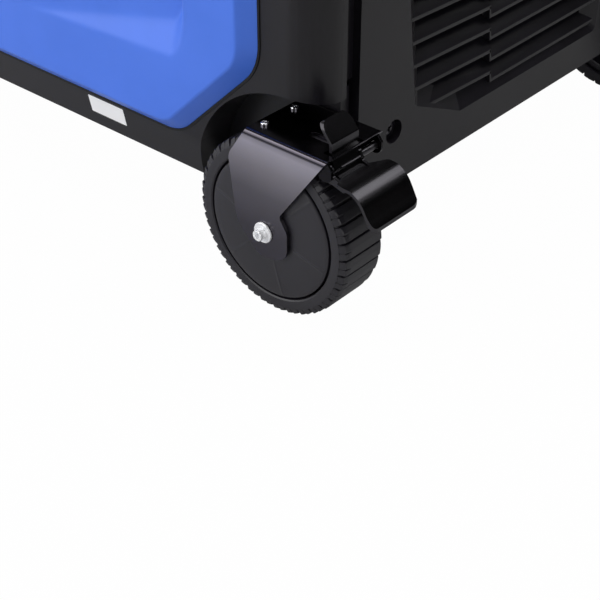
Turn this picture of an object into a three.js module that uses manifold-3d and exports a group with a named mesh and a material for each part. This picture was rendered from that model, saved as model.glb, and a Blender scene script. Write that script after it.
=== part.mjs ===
// Portable inverter generator: a closed moulded body on two braked wheels and two rubber feet.
// Millimetres, +Z up. X runs along the body towards the wheels, Y across it, Z up from the floor.
import * as THREE from 'three';
import { mergeVertices } from 'three/addons/utils/BufferGeometryUtils.js';
import Module from 'manifold-3d';

const wasm = await Module();
wasm.setup();

// Clearances that every piece shares
const touchGap = 0.3; // between two pieces that seat on each other
const runGap = 0.4; // around a shaft that turns or a button that slides
const overrun = 6; // how far a cutter runs past what it cuts

// Body
const body = {
  length: 700, width: 510, bottom: 72, skirtTop: 107, skirtInset: 11,
  top: 585, shoulderDrop: 57, shoulderInset: 38, cornerRadius: 30, wall: 3, columnWidth: 34,
  get shoulder() { return this.top - this.shoulderDrop; },
};
const halfLength = body.length / 2;
const halfWidth = body.width / 2;
const columnEdge = halfWidth - body.columnWidth;

// Raised end panels and the flange that tucks behind the corner columns
const end = { proud: 7, seam: 15, flangeWidth: 24, screwInset: 43, screwHeight: 122, counterbore: 10 };
const endHalfWidth = columnEdge - end.seam;
const flangeX = halfLength - end.proud;

// Wheels
const wheel = {
  radius: 75, width: 46, setback: 26, hubFace: 26, hubRadius: 60, lugs: 32, grooveDepth: 2.2,
  shoulderDrop: 7, shoulderWidth: 6, hubBore: 4.5, bossRadius: 15, faceRecess: 2,
};
const hub = { x: halfLength - wheel.setback, z: wheel.radius };
const hubFaceY = halfWidth + wheel.hubFace;
const tyreOuterY = hubFaceY - wheel.faceRecess;
const tyreInnerY = tyreOuterY - wheel.width;

// Wheel wells
const well = { radius: 100, depth: 36, lining: 9.5 };
const wellPlane = halfWidth - well.depth;
const wellBack = wellPlane - well.lining;

// Pressed-steel fork
const fork = { sheet: 3, standoff: 4, top: 157.5, bend: 3.5, rear: 18, front: 60, axleRadius: 4 };
const forkOuterY = hubFaceY + fork.standoff;
const forkInnerY = wellPlane + touchGap;
const forkFrontX = hub.x + fork.front;

// Brake rocker
const brake = {
  pivotX: 56.5, pivotZ: 70.5, pinRadius: 3, eyeRadius: 6.5, sheet: 2.5, earSheet: 2.5,
  tabOffset: 9, tabWidth: 30, padWidth: 54, padOffset: 4.2, shoeGap: 3, shoeThickness: 5,
};
const pivot = { x: hub.x + brake.pivotX, z: hub.z + brake.pivotZ };

// Louvred grilles
const louvre = {
  pitch: 20.4, lip: 3.4, lipDepth: 2, reach: 13, dishDepth: 10, dishRun: 16.6, dishWall: 2.5, step: 7,
  rib: 3,
};
const grille = {
  halfWidth: 145, bottom: 104.3, topDrop: 52, chamferRun: 73, chamferRise: 36, cornerRadius: 6,
  dividerY: -34, firstLip: 109.5, plateHeight: 146, plateDepth: 3,
  get top() { return body.shoulder - this.topDrop; },
  get shortTop() { return this.top - this.plateHeight; },
};
const intake = {
  halfWidth: 145, bottom: 104.3, top: 236, chamferRun: 40, chamferRise: 24, firstLip: 109.5,
};

// Blue side panels
const panel = {
  endGap: 56, bottom: 107.3, topDrop: 28, proud: 12.5, wall: 3,
  cutRun: 96, cutRise: 91, smallCut: 48, cornerRadius: 24,
  get endX() { return halfLength - this.endGap; },
  get top() { return body.shoulder - this.topDrop; },
};
const pocket = {
  startX: 56, endGap: 66.5, bottom: 185, topDrop: 80, depth: 9.5, slope: 14, radius: 21, smallRadius: 9,
  get endX() { return panel.endX - this.endGap; },
  get top() { return panel.top - this.topDrop; },
};

// Tray, feet and the engine bay
const footGap = 65;
const tray = { height: 28, sheet: 2.5, lift: 4, frontRadius: 34 };
const foot = { x: footGap - halfLength, y: halfWidth - footGap, radius: 26, taper: 5, bevel: 3 };
const tank = {
  endGap: 100, rear: 120, halfWidth: 188, topDrop: 29, height: 88, radius: 26, neckX: -120,
  get front() { return this.endGap - halfLength; },
  get top() { return body.top - this.topDrop; },
  get bottom() { return this.top - this.height; },
};
const trayBottom = body.bottom + tray.lift;
const trayFloor = trayBottom + tray.sheet;
const bayHeight = tank.bottom - trayFloor;

// Heights in the engine bay, as shares of the space between the tray and the tank
const bayShares = {
  shaft: 0.414634, crankcase: 0.62516, finPitch: 0.041078, throat: 0.786906, muffler: 0.825417,
  boxBottom: 0.6457, boxTop: 0.958922,
};
const shaft = { radius: 12, z: trayFloor + bayHeight * bayShares.shaft };
const engine = {
  rear: 130, front: -50, halfWidth: 88, bottom: 122, corner: 24, ribs: 3, ribDepth: 5, ribWidth: 8,
  cylinderX: 46, cylinderHalf: 52, barrelRadius: 38, fins: 5, fin: 4, coverHeight: 30,
  top: trayFloor + bayHeight * bayShares.crankcase, finPitch: bayHeight * bayShares.finPitch,
};
const mount = { halfLength: 24, halfWidth: 82 };
const alternator = { stack: 72, outer: 96, bore: 62, airGap: 1.2, coilShare: 0.86 };
const fan = { front: -196, hubLength: 18, hubRadius: 34, radius: 98, blades: 7, bladeLength: 26, bladeSheet: 3 };
const muffler = {
  endGap: 32, depth: 142, halfWidth: 96, y: 30, halfHeight: 44, radius: 30,
  z: trayFloor + bayHeight * bayShares.muffler,
  get rear() { return halfLength - this.endGap; },
  get front() { return this.rear - this.depth; },
};
const exhaust = {
  y: 62, z: muffler.z, radius: 26, bore: 21, reach: 7, screenDepth: 10, flange: 6, flangeWidth: 3,
};
const neck = { radius: 30, rise: 4, sides: 24 };
const cap = { radius: 41, height: 20, crown: 4, lobes: 12, lobeDepth: 2.5 };
const airBox = {
  x: 62, halfLength: 62, y: -150, halfWidth: 40, radius: 12, seam: 3,
  bottom: trayFloor + bayHeight * bayShares.boxBottom, top: trayFloor + bayHeight * bayShares.boxTop,
};
const carb = { radius: 17, bowlRadius: 20, bowlHeight: 30, z: trayFloor + bayHeight * bayShares.throat };
const inverter = {
  endGap: 25, fanGap: 26, halfWidth: 130, top: 218, base: 12, fins: 9, fin: 3, finPitch: 11,
  get front() { return this.endGap - halfLength; },
  get rear() { return fan.front - this.fanGap; },
};
const battery = {
  endGap: 92, halfLength: 56, halfWidth: 42, y: 60, height: 92, post: 7, postHeight: 8, postInset: 16,
  get x() { return halfLength - this.endGap; },
};

// Controls on the front panel
const controlWindow = {
  halfWidth: 152, bottom: 262, topDrop: 28, depth: 14, radius: 14, rim: 3,
  get top() { return body.shoulder - this.topDrop; },
};
const windowHeight = controlWindow.top - controlWindow.bottom;

// Rows of controls, as shares of the window's height above its lower edge
const rowShares = {
  switches: 0.823529, start: 0.810924, dial: 0.798319, outlets: 0.378151, breakers: 0.445378,
  breakerPitch: 0.151261, ground: 0.117647,
};
const rowHeight = (share) => controlWindow.bottom + windowHeight * share;
const fascia = { sheet: 4, lap: 8 };
const displayPane = {
  y: 92, z: rowHeight(rowShares.switches), halfWidth: 38, halfHeight: 20, proud: 2, radius: 5,
};
const startButton = {
  y: 12, z: rowHeight(rowShares.start), radius: 13, proud: 7, travel: 3, collar: 19, collarProud: 4,
  stem: 9,
};
const rocker = {
  z: rowHeight(rowShares.switches), halfWidth: 12, halfHeight: 9, swing: 14, proud: 6, bezel: 4,
  bezelProud: 1.6, depth: 9,
};
const rockerPlaces = { engine: -34, eco: -76 };
const dial = {
  y: -122, z: rowHeight(rowShares.dial), radius: 21, skirt: 5, proud: 19, grip: 8, gripShare: 0.62,
};
const outlet = {
  y: 96, pitch: 62, z: rowHeight(rowShares.outlets), halfWidth: 21, halfHeight: 37, proud: 4,
  slotWidth: 2.2,
  slotHeight: 8, slotDepth: 2.5, slotSpacing: 12.7, faceOffset: 19, pinRadius: 2.6, pinDrop: 11, radius: 5,
};
const lockOutlet = {
  y: -42, z: rowHeight(rowShares.outlets), radius: 28, proud: 5, face: 20, recess: 2.5, slotWidth: 2.4,
  slots: 3, ring: 11,
};
const lockLid = { thickness: 3.5, radius: 27, hinge: 4, pin: 1.6, hingeRise: 34, lift: 1.2, width: 26 };
const breaker = {
  y: -112, z: rowHeight(rowShares.breakers), pitch: windowHeight * rowShares.breakerPitch, radius: 6,
  proud: 8, travel: 3, collar: 10, collarProud: 4,
};
const ground = {
  y: -112, z: rowHeight(rowShares.ground), plate: 13, plateProud: 2, stud: 4, studProud: 16, wing: 15,
  wingHeight: 7, wingSheet: 3,
};

// Pull handle at the front
const handle = {
  pivotZ: 238, standoff: 24, tube: 9, halfWidth: 165, drop: 138, bend: 34, eye: 12, eyeLength: 18, pin: 4,
  ear: 5, base: 5, baseHeight: 46, baseWidth: 40, grip: 13.5, gripHalf: 108, sides: 8,
};

const colours = {
  blue: 0x2f5fd8, black: 0x201f22, steelBlack: 0x131315, zinc: 0xc9ccd0, rubber: 0x242328, hub: 0x2b2a2f,
  castAlloy: 0x9da1a5, iron: 0x4b4c4f, tank: 0x1c1c1e, copper: 0x8a4b25, red: 0xb3221c, glass: 0x20302a,
  grey: 0x55565a, outletGrey: 0x2c2c2f, foam: 0x19191b,
};
const finishes = {
  plastic: [0.55, 0], gloss: [0.2, 0], metal: [0.35, 1], rubber: [0.8, 0], paint: [0.3, 0.2],
};

// Solids and booleans

function faceOutward(geometry) {
  const place = geometry.attributes.position;
  const index = geometry.index.array;
  const [a, b, c] = [new THREE.Vector3(), new THREE.Vector3(), new THREE.Vector3()];
  let volume = 0;
  for (let i = 0; i < index.length; i += 3) {
    a.fromBufferAttribute(place, index[i]);
    b.fromBufferAttribute(place, index[i + 1]);
    c.fromBufferAttribute(place, index[i + 2]);
    volume += a.dot(b.cross(c));
  }
  if (volume < 0) {
    for (let i = 0; i < index.length; i += 3) [index[i], index[i + 2]] = [index[i + 2], index[i]];
  }
  return geometry;
}

function closed(geometry) {
  const bare = geometry.clone();
  for (const name of Object.keys(bare.attributes)) if (name !== 'position') bare.deleteAttribute(name);
  return faceOutward(mergeVertices(bare));
}

function solidOf(geometry) {
  const whole = closed(geometry);
  return new wasm.Manifold(new wasm.Mesh({
    numProp: 3,
    vertProperties: Float32Array.from(whole.attributes.position.array),
    triVerts: Uint32Array.from(whole.index.array),
  }));
}

function geometryOf(solid) {
  const mesh = solid.getMesh();
  const geometry = new THREE.BufferGeometry();
  geometry.setAttribute('position', new THREE.Float32BufferAttribute(mesh.vertProperties, 3));
  geometry.setIndex(new THREE.BufferAttribute(Uint32Array.from(mesh.triVerts), 1));
  return geometry;
}

const fuse = (first, ...rest) =>
  geometryOf(rest.reduce((sum, next) => sum.add(solidOf(next)), solidOf(first)));
const cut = (first, ...rest) => geometryOf(rest.reduce((left, next) =>
  left.subtract(solidOf(next)), solidOf(first)));
const common = (first, next) => geometryOf(solidOf(first).intersect(solidOf(next)));

function mirrored(geometry) {
  return faceOutward(closed(geometry).scale(1, -1, 1));
}

// An outline is a ring of [u, v] points. Along X it lies in YZ, along Y in XZ and along Z in XY.
const planes = {
  X: (u, v, w) => [w, u, v],
  Y: (u, v, w) => [u, w, v],
  Z: (u, v, w) => [u, v, w],
};

// Skins one body over outlines of equal count. A section stands at one place, or at a place for each point.
function loft(along, drawn) {
  const clockwise = THREE.ShapeUtils.isClockWise(drawn[0].ring.map(([u, v]) => new THREE.Vector2(u, v)));
  const sections = drawn.map(({ ring, at }) => ({ ring: clockwise ? [...ring].reverse() : ring, at }));
  const count = sections[0].ring.length;
  const positions = sections.flatMap(({ ring, at }) => (
    ring.flatMap(([u, v]) => planes[along](u, v, typeof at === 'function' ? at(u, v) : at))));
  const index = [];
  for (let s = 0; s + 1 < sections.length; s += 1) {
    for (let i = 0; i < count; i += 1) {
      const j = (i + 1) % count;
      const [a, b, c, d] = [s * count + i, s * count + j, (s + 1) * count + j, (s + 1) * count + i];
      index.push(a, b, c, a, c, d);
    }
  }
  const flat = (ring) =>
    THREE.ShapeUtils.triangulateShape(ring.map(([u, v]) => new THREE.Vector2(u, v)), []);
  const last = (sections.length - 1) * count;
  for (const [a, b, c] of flat(sections[0].ring)) index.push(a, c, b);
  for (const [a, b, c] of flat(sections.at(-1).ring)) index.push(last + a, last + b, last + c);
  const geometry = new THREE.BufferGeometry();
  geometry.setAttribute('position', new THREE.Float32BufferAttribute(positions, 3));
  geometry.setIndex(index);
  return faceOutward(geometry);
}

// Corners are [u, v, radius], anticlockwise; each is rounded by an arc of the given number of steps.
function roundedRing(corners, steps = 2) {
  const ring = [];
  corners.forEach(([u, v, radius], i) => {
    const here = new THREE.Vector2(u, v);
    const toLast = new THREE.Vector2(...corners.at(i - 1).slice(0, 2)).sub(here).normalize();
    const next = corners[(i + 1) % corners.length];
    const toNext = new THREE.Vector2(next[0], next[1]).sub(here).normalize();
    const half = Math.acos(THREE.MathUtils.clamp(toLast.dot(toNext), -1, 1)) / 2;
    const centre = toLast.clone().add(toNext).normalize().multiplyScalar(radius / Math.sin(half)).add(here);
    const from = here.clone().addScaledVector(toLast, radius / Math.tan(half)).sub(centre);
    const to = here.clone().addScaledVector(toNext, radius / Math.tan(half)).sub(centre);
    const sweep = Math.atan2(from.cross(to), from.dot(to));
    for (let k = 0; k <= steps; k += 1) {
      const point = from.clone().rotateAround(new THREE.Vector2(), (sweep * k) / steps).add(centre);
      ring.push([point.x, point.y]);
    }
  });
  return ring;
}

// Moves every side of an outline inwards by one distance, and eases its radii to match.
function inset(corners, distance) {
  return corners.map(([u, v, radius], i) => {
    const here = new THREE.Vector2(u, v);
    const before = here.clone().sub(new THREE.Vector2(...corners.at(i - 1).slice(0, 2))).normalize();
    const after = new THREE.Vector2(...corners[(i + 1) % corners.length].slice(0, 2)).sub(here).normalize();
    const turn = before.cross(after);
    const shift = after.clone().sub(before).multiplyScalar(distance / turn);
    return [u + shift.x, v + shift.y, Math.max(radius - distance * Math.sign(turn), radius / 4)];
  });
}

const rectangle = (u0, u1, v0, v1, radius) =>
  [[u0, v0, radius], [u1, v0, radius], [u1, v1, radius], [u0, v1, radius]];
const prism = (along, ring, from, to) => loft(along, [{ ring, at: from }, { ring, at: to }]);

function block(x0, x1, y0, y1, z0, z1) {
  return prism('Z', [[x0, y0], [x1, y0], [x1, y1], [x0, y1]], z0, z1);
}

function circle(u, v, radius, sides) {
  return Array.from({ length: sides }, (_, i) => {
    const angle = (i / sides) * 2 * Math.PI;
    return [u + radius * Math.cos(angle), v + radius * Math.sin(angle)];
  });
}

const rod = (along, u, v, radius, from, to, sides = 12) =>
  prism(along, circle(u, v, radius, sides), from, to);

function ring(along, u, v, outer, bore, from, to, sides = 16) {
  return cut(rod(along, u, v, outer, from, to, sides),
    rod(along, u, v, bore, from - overrun, to + overrun, sides));
}

// Housing shell: the skirt leans in below the panels, and the shoulder rolls over to the top
function hullSection(wall, inX, inY, z) {
  const [a, b] = [halfLength - wall - inX, halfWidth - wall - inY];
  return { ring: roundedRing(rectangle(-a, a, -b, b, body.cornerRadius - wall), 3), at: z };
}

function hull(wall) {
  const rollSteps = 3;
  const rise = body.top - body.shoulder - wall;
  const sections = [];
  const slope = body.skirtInset / (body.skirtTop - body.bottom);
  const below = wall > 0 ? overrun : 0;
  sections.push(hullSection(wall, 0, body.skirtInset + slope * below, body.bottom - below));
  sections.push(hullSection(wall, 0, 0, body.skirtTop));
  for (let i = 0; i <= rollSteps; i += 1) {
    const turn = (i / rollSteps) * (Math.PI / 2);
    const roll = body.shoulderInset * (1 - Math.cos(turn));
    sections.push(hullSection(wall, roll, roll, body.shoulder + rise * Math.sin(turn)));
  }
  return loft('Z', sections);
}

const shell = cut(hull(0), hull(body.wall));
const farX = halfLength + overrun;
const farY = halfWidth + overrun;
const aboveTop = body.top + overrun;
const belowBottom = body.bottom - overrun;

// Left side moulding, with the wheel well and its lining
function sideFrame() {
  const skin = common(shell, block(-farX, farX, -farY, -columnEdge, belowBottom, aboveTop));
  const lining = rod('Y', hub.x, hub.z, well.radius + body.wall, -farY, -wellBack, 32);
  const liningLimit = block(-farX, flangeX, -farY, farY, body.bottom, aboveTop);
  const wellWall = common(common(hull(0), lining), liningLimit);
  const seatRib = (x0, x1, z0) => block(
    x0, x1, -columnEdge - body.wall * 2, -columnEdge - body.wall, z0, body.shoulder);
  const ribFrom = flangeX + touchGap;
  const ribTo = halfLength - body.wall / 2;
  return cut(
    fuse(skin, wellWall, seatRib(ribFrom, ribTo, hub.z + well.radius + overrun),
      seatRib(-ribTo, -ribFrom, body.bottom)),
    rod('Y', hub.x, hub.z, well.radius, -farY, -wellPlane, 32),
    rod('Y', hub.x, hub.z, fork.axleRadius + runGap, -farY, 0, 16),
  );
}

// Blue panel: a bevelled shell with the scooped pocket, shallow at the front and deep at the rear
const panelCorners = [
  [-panel.endX, panel.bottom + panel.smallCut, panel.cornerRadius],
  [-panel.endX + panel.smallCut, panel.bottom, panel.cornerRadius],
  [panel.endX - panel.cutRun, panel.bottom, panel.cornerRadius],
  [panel.endX, panel.bottom + panel.cutRise, panel.cornerRadius],
  [panel.endX, panel.top - panel.smallCut, panel.cornerRadius],
  [panel.endX - panel.smallCut, panel.top, panel.cornerRadius],
  [-panel.endX + panel.smallCut, panel.top, panel.cornerRadius],
  [-panel.endX, panel.top - panel.smallCut, panel.cornerRadius],
];
const panelBackY = halfWidth + touchGap;
const panelFaceY = halfWidth + panel.proud;

function pocketCutter(grown) {
  const corners = [
    [pocket.startX - grown, pocket.bottom - grown, pocket.smallRadius + grown],
    [pocket.endX + grown, pocket.bottom - grown, pocket.radius + grown],
    [pocket.endX + grown, pocket.top + grown, pocket.radius + grown],
    [pocket.startX - grown, pocket.top + grown, pocket.smallRadius + grown],
  ];
  const rim = roundedRing(corners, 3);
  const floor = roundedRing(inset(corners, pocket.slope), 3);
  const run = pocket.endX - pocket.startX;
  const depthAt = (x) => (pocket.depth * Math.max(x - pocket.startX, 0)) / (run - pocket.slope);
  // The floor's front end comes back to the rim, where the scoop starts at nothing
  const scoop = floor.map(([x, z], i) => {
    const share = THREE.MathUtils.clamp((x - pocket.startX) / run, 0, 1);
    return [THREE.MathUtils.lerp(rim[i][0], x, share), THREE.MathUtils.lerp(rim[i][1], z, share)];
  });
  return loft('Y', [
    { ring: rim, at: -panelFaceY - overrun },
    { ring: rim, at: -panelFaceY + grown },
    { ring: scoop, at: (x) => -panelFaceY + grown + depthAt(x) + touchGap / 10 },
  ]);
}

function sidePanel() {
  const rim = roundedRing(panelCorners, 3);
  const face = roundedRing(inset(panelCorners, panel.proud), 3);
  const cover = loft('Y', [{ ring: rim, at: -panelBackY }, { ring: face, at: -panelFaceY }]);
  const innerRim = roundedRing(inset(panelCorners, panel.wall * 1.5), 1);
  const innerFace = roundedRing(inset(panelCorners, panel.proud + panel.wall / 2), 1);
  const cavity = loft('Y', [
    { ring: innerRim, at: -panelBackY + overrun },
    { ring: innerRim, at: -panelBackY },
    { ring: innerFace, at: -panelFaceY + panel.wall },
  ]);
  return cut(cover, cut(cavity, pocketCutter(panel.wall)), pocketCutter(0));
}

// Grilles: a bevelled dish, and blades that fall outwards to square lips
function dish(corners, grown, depth) {
  const mouth = roundedRing(inset(corners, -grown), 1);
  const throat = roundedRing(inset(corners, louvre.dishRun - grown), 1);
  return loft('X', [
    { ring: mouth, at: grown > 0 ? halfLength : halfLength + overrun },
    { ring: mouth, at: halfLength - touchGap / 10 },
    { ring: throat, at: halfLength - louvre.dishDepth },
    { ring: throat, at: halfLength - depth },
  ]);
}

function blade(y0, y1, z) {
  const front = halfLength - louvre.lipDepth;
  const section = [[front, z], [front, z + louvre.lip],
    [front - louvre.reach, z + louvre.lip + louvre.reach],
    [front - louvre.reach, z + louvre.reach]];
  return prism('Y', section, y0, y1);
}

function blades(y0, y1, firstLip, top) {
  const count = Math.floor((top - firstLip - louvre.lip) / louvre.pitch) + 1;
  return Array.from({ length: count }, (_, i) => blade(y0, y1, firstLip + i * louvre.pitch));
}

function endSkin() {
  const outer = halfLength;
  const flange = (y0, y1, z0) => block(flangeX - body.wall, flangeX, y0, y1, z0, body.shoulder - touchGap);
  const flangeFrom = endHalfWidth - body.wall;
  const flangeTo = columnEdge + body.wall * 2;
  return { outer, flange, flangeFrom, flangeTo };
}

function endPlate(flangeBottom) {
  const { outer, flange, flangeFrom, flangeTo } = endSkin();
  const top = body.shoulder - touchGap;
  const sides = [-1, 1].flatMap((side) => {
    const [y0, y1] = [side * flangeFrom, side * flangeTo].sort((a, b) => a - b);
    const [r0, r1] = [side * flangeFrom, side * endHalfWidth].sort((a, b) => a - b);
    return [flange(y0, y1, flangeBottom),
      block(flangeX - body.wall, outer - body.wall / 2, r0, r1, body.bottom, top)];
  });
  return fuse(block(outer - body.wall, outer, -endHalfWidth, endHalfWidth, body.bottom, top), ...sides);
}

function endPanel() {
  const g = grille;
  const corners = [
    [-g.halfWidth + g.chamferRun, g.bottom, g.cornerRadius], [g.halfWidth, g.bottom, g.cornerRadius],
    [g.halfWidth, g.top - g.chamferRise, g.cornerRadius],
    [g.halfWidth - g.chamferRun, g.top, g.cornerRadius],
    [-g.halfWidth, g.top, g.cornerRadius], [-g.halfWidth, g.bottom + g.chamferRise, g.cornerRadius],
  ];
  const depth = louvre.lipDepth + louvre.reach;
  const opening = dish(corners, 0, depth + overrun);
  const wall = dish(corners, louvre.dishWall, louvre.dishDepth);
  const reachBox = dish(corners, louvre.dishWall / 2, depth);
  const long = blades(-farY, g.dividerY, g.firstLip + louvre.step, g.top);
  const short = blades(g.dividerY, farY, g.firstLip, g.shortTop);
  const x0 = halfLength - depth;
  const ribFront = halfLength - louvre.lipDepth - louvre.lip;
  const rib = block(x0, ribFront, g.dividerY - louvre.rib / 2, g.dividerY + louvre.rib / 2, g.bottom,
    g.top);
  const jogs = short.map((_, i) => block(
    ribFront - louvre.lip, halfLength - louvre.lipDepth, g.dividerY - louvre.rib, g.dividerY,
    g.firstLip + i * louvre.pitch, g.firstLip + i * louvre.pitch + louvre.step + louvre.lip));
  const plateX = halfLength - g.plateDepth;
  const plate = block(plateX - body.wall, plateX, g.dividerY, farY, g.shortTop, g.top);
  const inside = common(fuse(rib, plate, ...long, ...short, ...jogs), reachBox);
  const boss = rod('X', exhaust.y, exhaust.z, exhaust.radius + exhaust.flange, plateX - body.wall,
    halfLength, 16);
  const screws = [-1, 1].flatMap((side) => [end.screwHeight, g.top].map((z) => ({
    y: side * (endHalfWidth - end.screwInset), z,
  })));
  const cups = screws.map(({ y, z }) => rod(
    'X', y, z, end.counterbore + body.wall, flangeX - body.wall, halfLength - body.wall / 2, 12));
  const sinks = screws.map(({ y, z }) => rod('X', y, z, end.counterbore, flangeX, farX, 12));
  const skin = cut(fuse(endPlate(hub.z + well.radius + overrun), wall, ...cups), opening, ...sinks);
  return cut(
    fuse(skin, inside, boss),
    rod('X', exhaust.y, exhaust.z, exhaust.radius + runGap, 0, farX, 16),
  );
}

const turned = (geometry) => closed(geometry).rotateZ(Math.PI);

function windowCorners(grown) {
  const w = controlWindow;
  return rectangle(-w.halfWidth - grown, w.halfWidth + grown, w.bottom - grown, w.top + grown,
    w.radius + grown);
}

function frontPanel() {
  const g = intake;
  const corners = [
    [-g.halfWidth + g.chamferRun, g.bottom, grille.cornerRadius],
    [g.halfWidth, g.bottom, grille.cornerRadius],
    [g.halfWidth, g.top - g.chamferRise, grille.cornerRadius],
    [g.halfWidth - g.chamferRun, g.top, grille.cornerRadius],
    [-g.halfWidth, g.top, grille.cornerRadius], [-g.halfWidth, g.bottom + g.chamferRise,
    grille.cornerRadius],
  ];
  const depth = louvre.lipDepth + louvre.reach;
  const slats = blades(-farY, farY, g.firstLip, g.top);
  const inside = common(fuse(slats[0], ...slats.slice(1), block(
    halfLength - depth, halfLength - louvre.lipDepth - louvre.lip, -louvre.rib / 2, louvre.rib / 2,
    g.bottom, g.top)), dish(corners, louvre.dishWall / 2, depth));
  const rimDepth = halfLength - controlWindow.depth;
  const rim = prism('X', roundedRing(windowCorners(controlWindow.rim)), rimDepth,
    halfLength - body.wall / 2);
  const skin = cut(
    fuse(endPlate(body.skirtTop), dish(corners, louvre.dishWall, louvre.dishDepth), rim),
    dish(corners, 0, depth + overrun),
    prism('X', roundedRing(windowCorners(0)), rimDepth - overrun, farX),
  );
  return turned(fuse(skin, inside));
}

function topCover() {
  const seam = columnEdge - touchGap;
  const skin = common(shell, block(-farX, farX, -seam, seam, body.shoulder, aboveTop));
  return cut(skin, rod('Z', tank.neckX, 0, neck.radius + runGap, body.shoulder, aboveTop, neck.sides));
}

// Steel tray, narrowed beside the wheel wells
function baseTray() {
  const z0 = body.bottom + tray.lift;
  const half = halfWidth - body.skirtInset - body.wall - touchGap;
  const endX = flangeX - body.wall - touchGap;
  const notchX = hub.x - well.radius - body.wall - runGap;
  const notchY = wellBack - runGap;
  const r = tray.sheet / 5;
  const corners = [
    [-endX, -half, tray.frontRadius], [notchX, -half, r], [notchX, -notchY, r], [endX, -notchY, r],
    [endX, notchY, r], [notchX, notchY, r], [notchX, half, r], [-endX, half, tray.frontRadius],
  ];
  const walls = prism('Z', roundedRing(corners), z0, z0 + tray.height);
  const hollow = prism('Z', roundedRing(inset(corners, tray.sheet)), z0 + tray.sheet,
    z0 + tray.height + overrun);
  const nutHalf = fork.axleRadius * 2.5;
  const nutRoom = [-1, 1].map((side) => {
    const [y0, y1] = [side * farY, side * (wellBack - nutRoomDepth)].sort((a, b) => a - b);
    return block(hub.x - nutHalf, hub.x + nutHalf, y0, y1, z0 - overrun, hub.z + nutHalf);
  });
  return cut(walls, hollow, ...nutRoom);
}

const nutRoomDepth = fork.axleRadius * 3.2;

function lathe(along, u, v, profile, sides) {
  const sections = profile.map(([radius, at]) => ({ ring: circle(u, v, radius, sides), at }));
  return loft(along, sections);
}

function frontFoot() {
  const top = trayBottom - touchGap;
  return lathe('Z', foot.x, -foot.y, [
    [foot.radius - foot.bevel, 0], [foot.radius, foot.bevel], [foot.radius - foot.taper, top]], 28);
}

// Wheel: a grooved rubber tyre on a dished hub
const grooveShares = [0, 0.22];

function tyre() {
  const w = wheel;
  const stations = grooveShares.length;
  const profile = [
    [w.hubRadius, tyreOuterY - w.shoulderWidth / 3, 0], [w.hubRadius + w.shoulderDrop, tyreOuterY, 0],
    [w.radius - w.shoulderDrop / 3, tyreOuterY - w.shoulderWidth / 2, 1],
    [w.radius, tyreOuterY - w.shoulderWidth * 2, 1], [w.radius, tyreInnerY + w.shoulderWidth, 1],
    [w.hubRadius + w.shoulderDrop, tyreInnerY, 0], [w.hubRadius, tyreInnerY + w.shoulderWidth / 3, 0],
  ];
  const positions = [];
  const index = [];
  for (let lug = 0; lug < w.lugs; lug += 1) {
    for (let s = 0; s < stations; s += 1) {
      const angle = ((lug + grooveShares[s]) / w.lugs) * 2 * Math.PI - Math.PI / 2;
      for (const [radius, y, depthShare] of profile) {
        const r = radius - (s === 0 ? w.grooveDepth * depthShare : 0);
        positions.push(hub.x + r * Math.cos(angle), -y, hub.z + r * Math.sin(angle));
      }
    }
  }
  const turns = w.lugs * stations;
  for (let i = 0; i < turns; i += 1) {
    const j = (i + 1) % turns;
    for (let k = 0; k < profile.length; k += 1) {
      const l = (k + 1) % profile.length;
      const [a, b, c, d] = [i * profile.length + k, i * profile.length + l, j * profile.length + l,
        j * profile.length + k];
      index.push(a, b, c, a, c, d);
    }
  }
  const geometry = new THREE.BufferGeometry();
  geometry.setAttribute('position', new THREE.Float32BufferAttribute(positions, 3));
  geometry.setIndex(index);
  return faceOutward(geometry);
}

function wheelHub() {
  const w = wheel;
  const rim = w.hubRadius - runGap;
  const outer = tyreOuterY - w.shoulderWidth / 3;
  const inner = tyreInnerY + w.shoulderWidth / 3;
  const web = w.width / 5;
  const bossOut = forkOuterY - fork.sheet - touchGap;
  const bossIn = forkInnerY + fork.sheet + touchGap;
  const disc = lathe('Y', hub.x, hub.z, [
    [rim, -inner], [rim, -outer], [rim - w.faceRecess, -hubFaceY + touchGap],
    [w.bossRadius, -hubFaceY - touchGap]],
  28);
  const dishFace = lathe('Y', hub.x, hub.z, [
    [rim - web, -inner + overrun], [rim - web * 1.5, -outer + web]], 28);
  const boss = rod('Y', hub.x, hub.z, w.bossRadius, -bossOut, -bossIn, 16);
  return cut(fuse(cut(disc, dishFace), boss), rod('Y', hub.x, hub.z, w.hubBore, -farY * 2, 0, 16));
}

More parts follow.
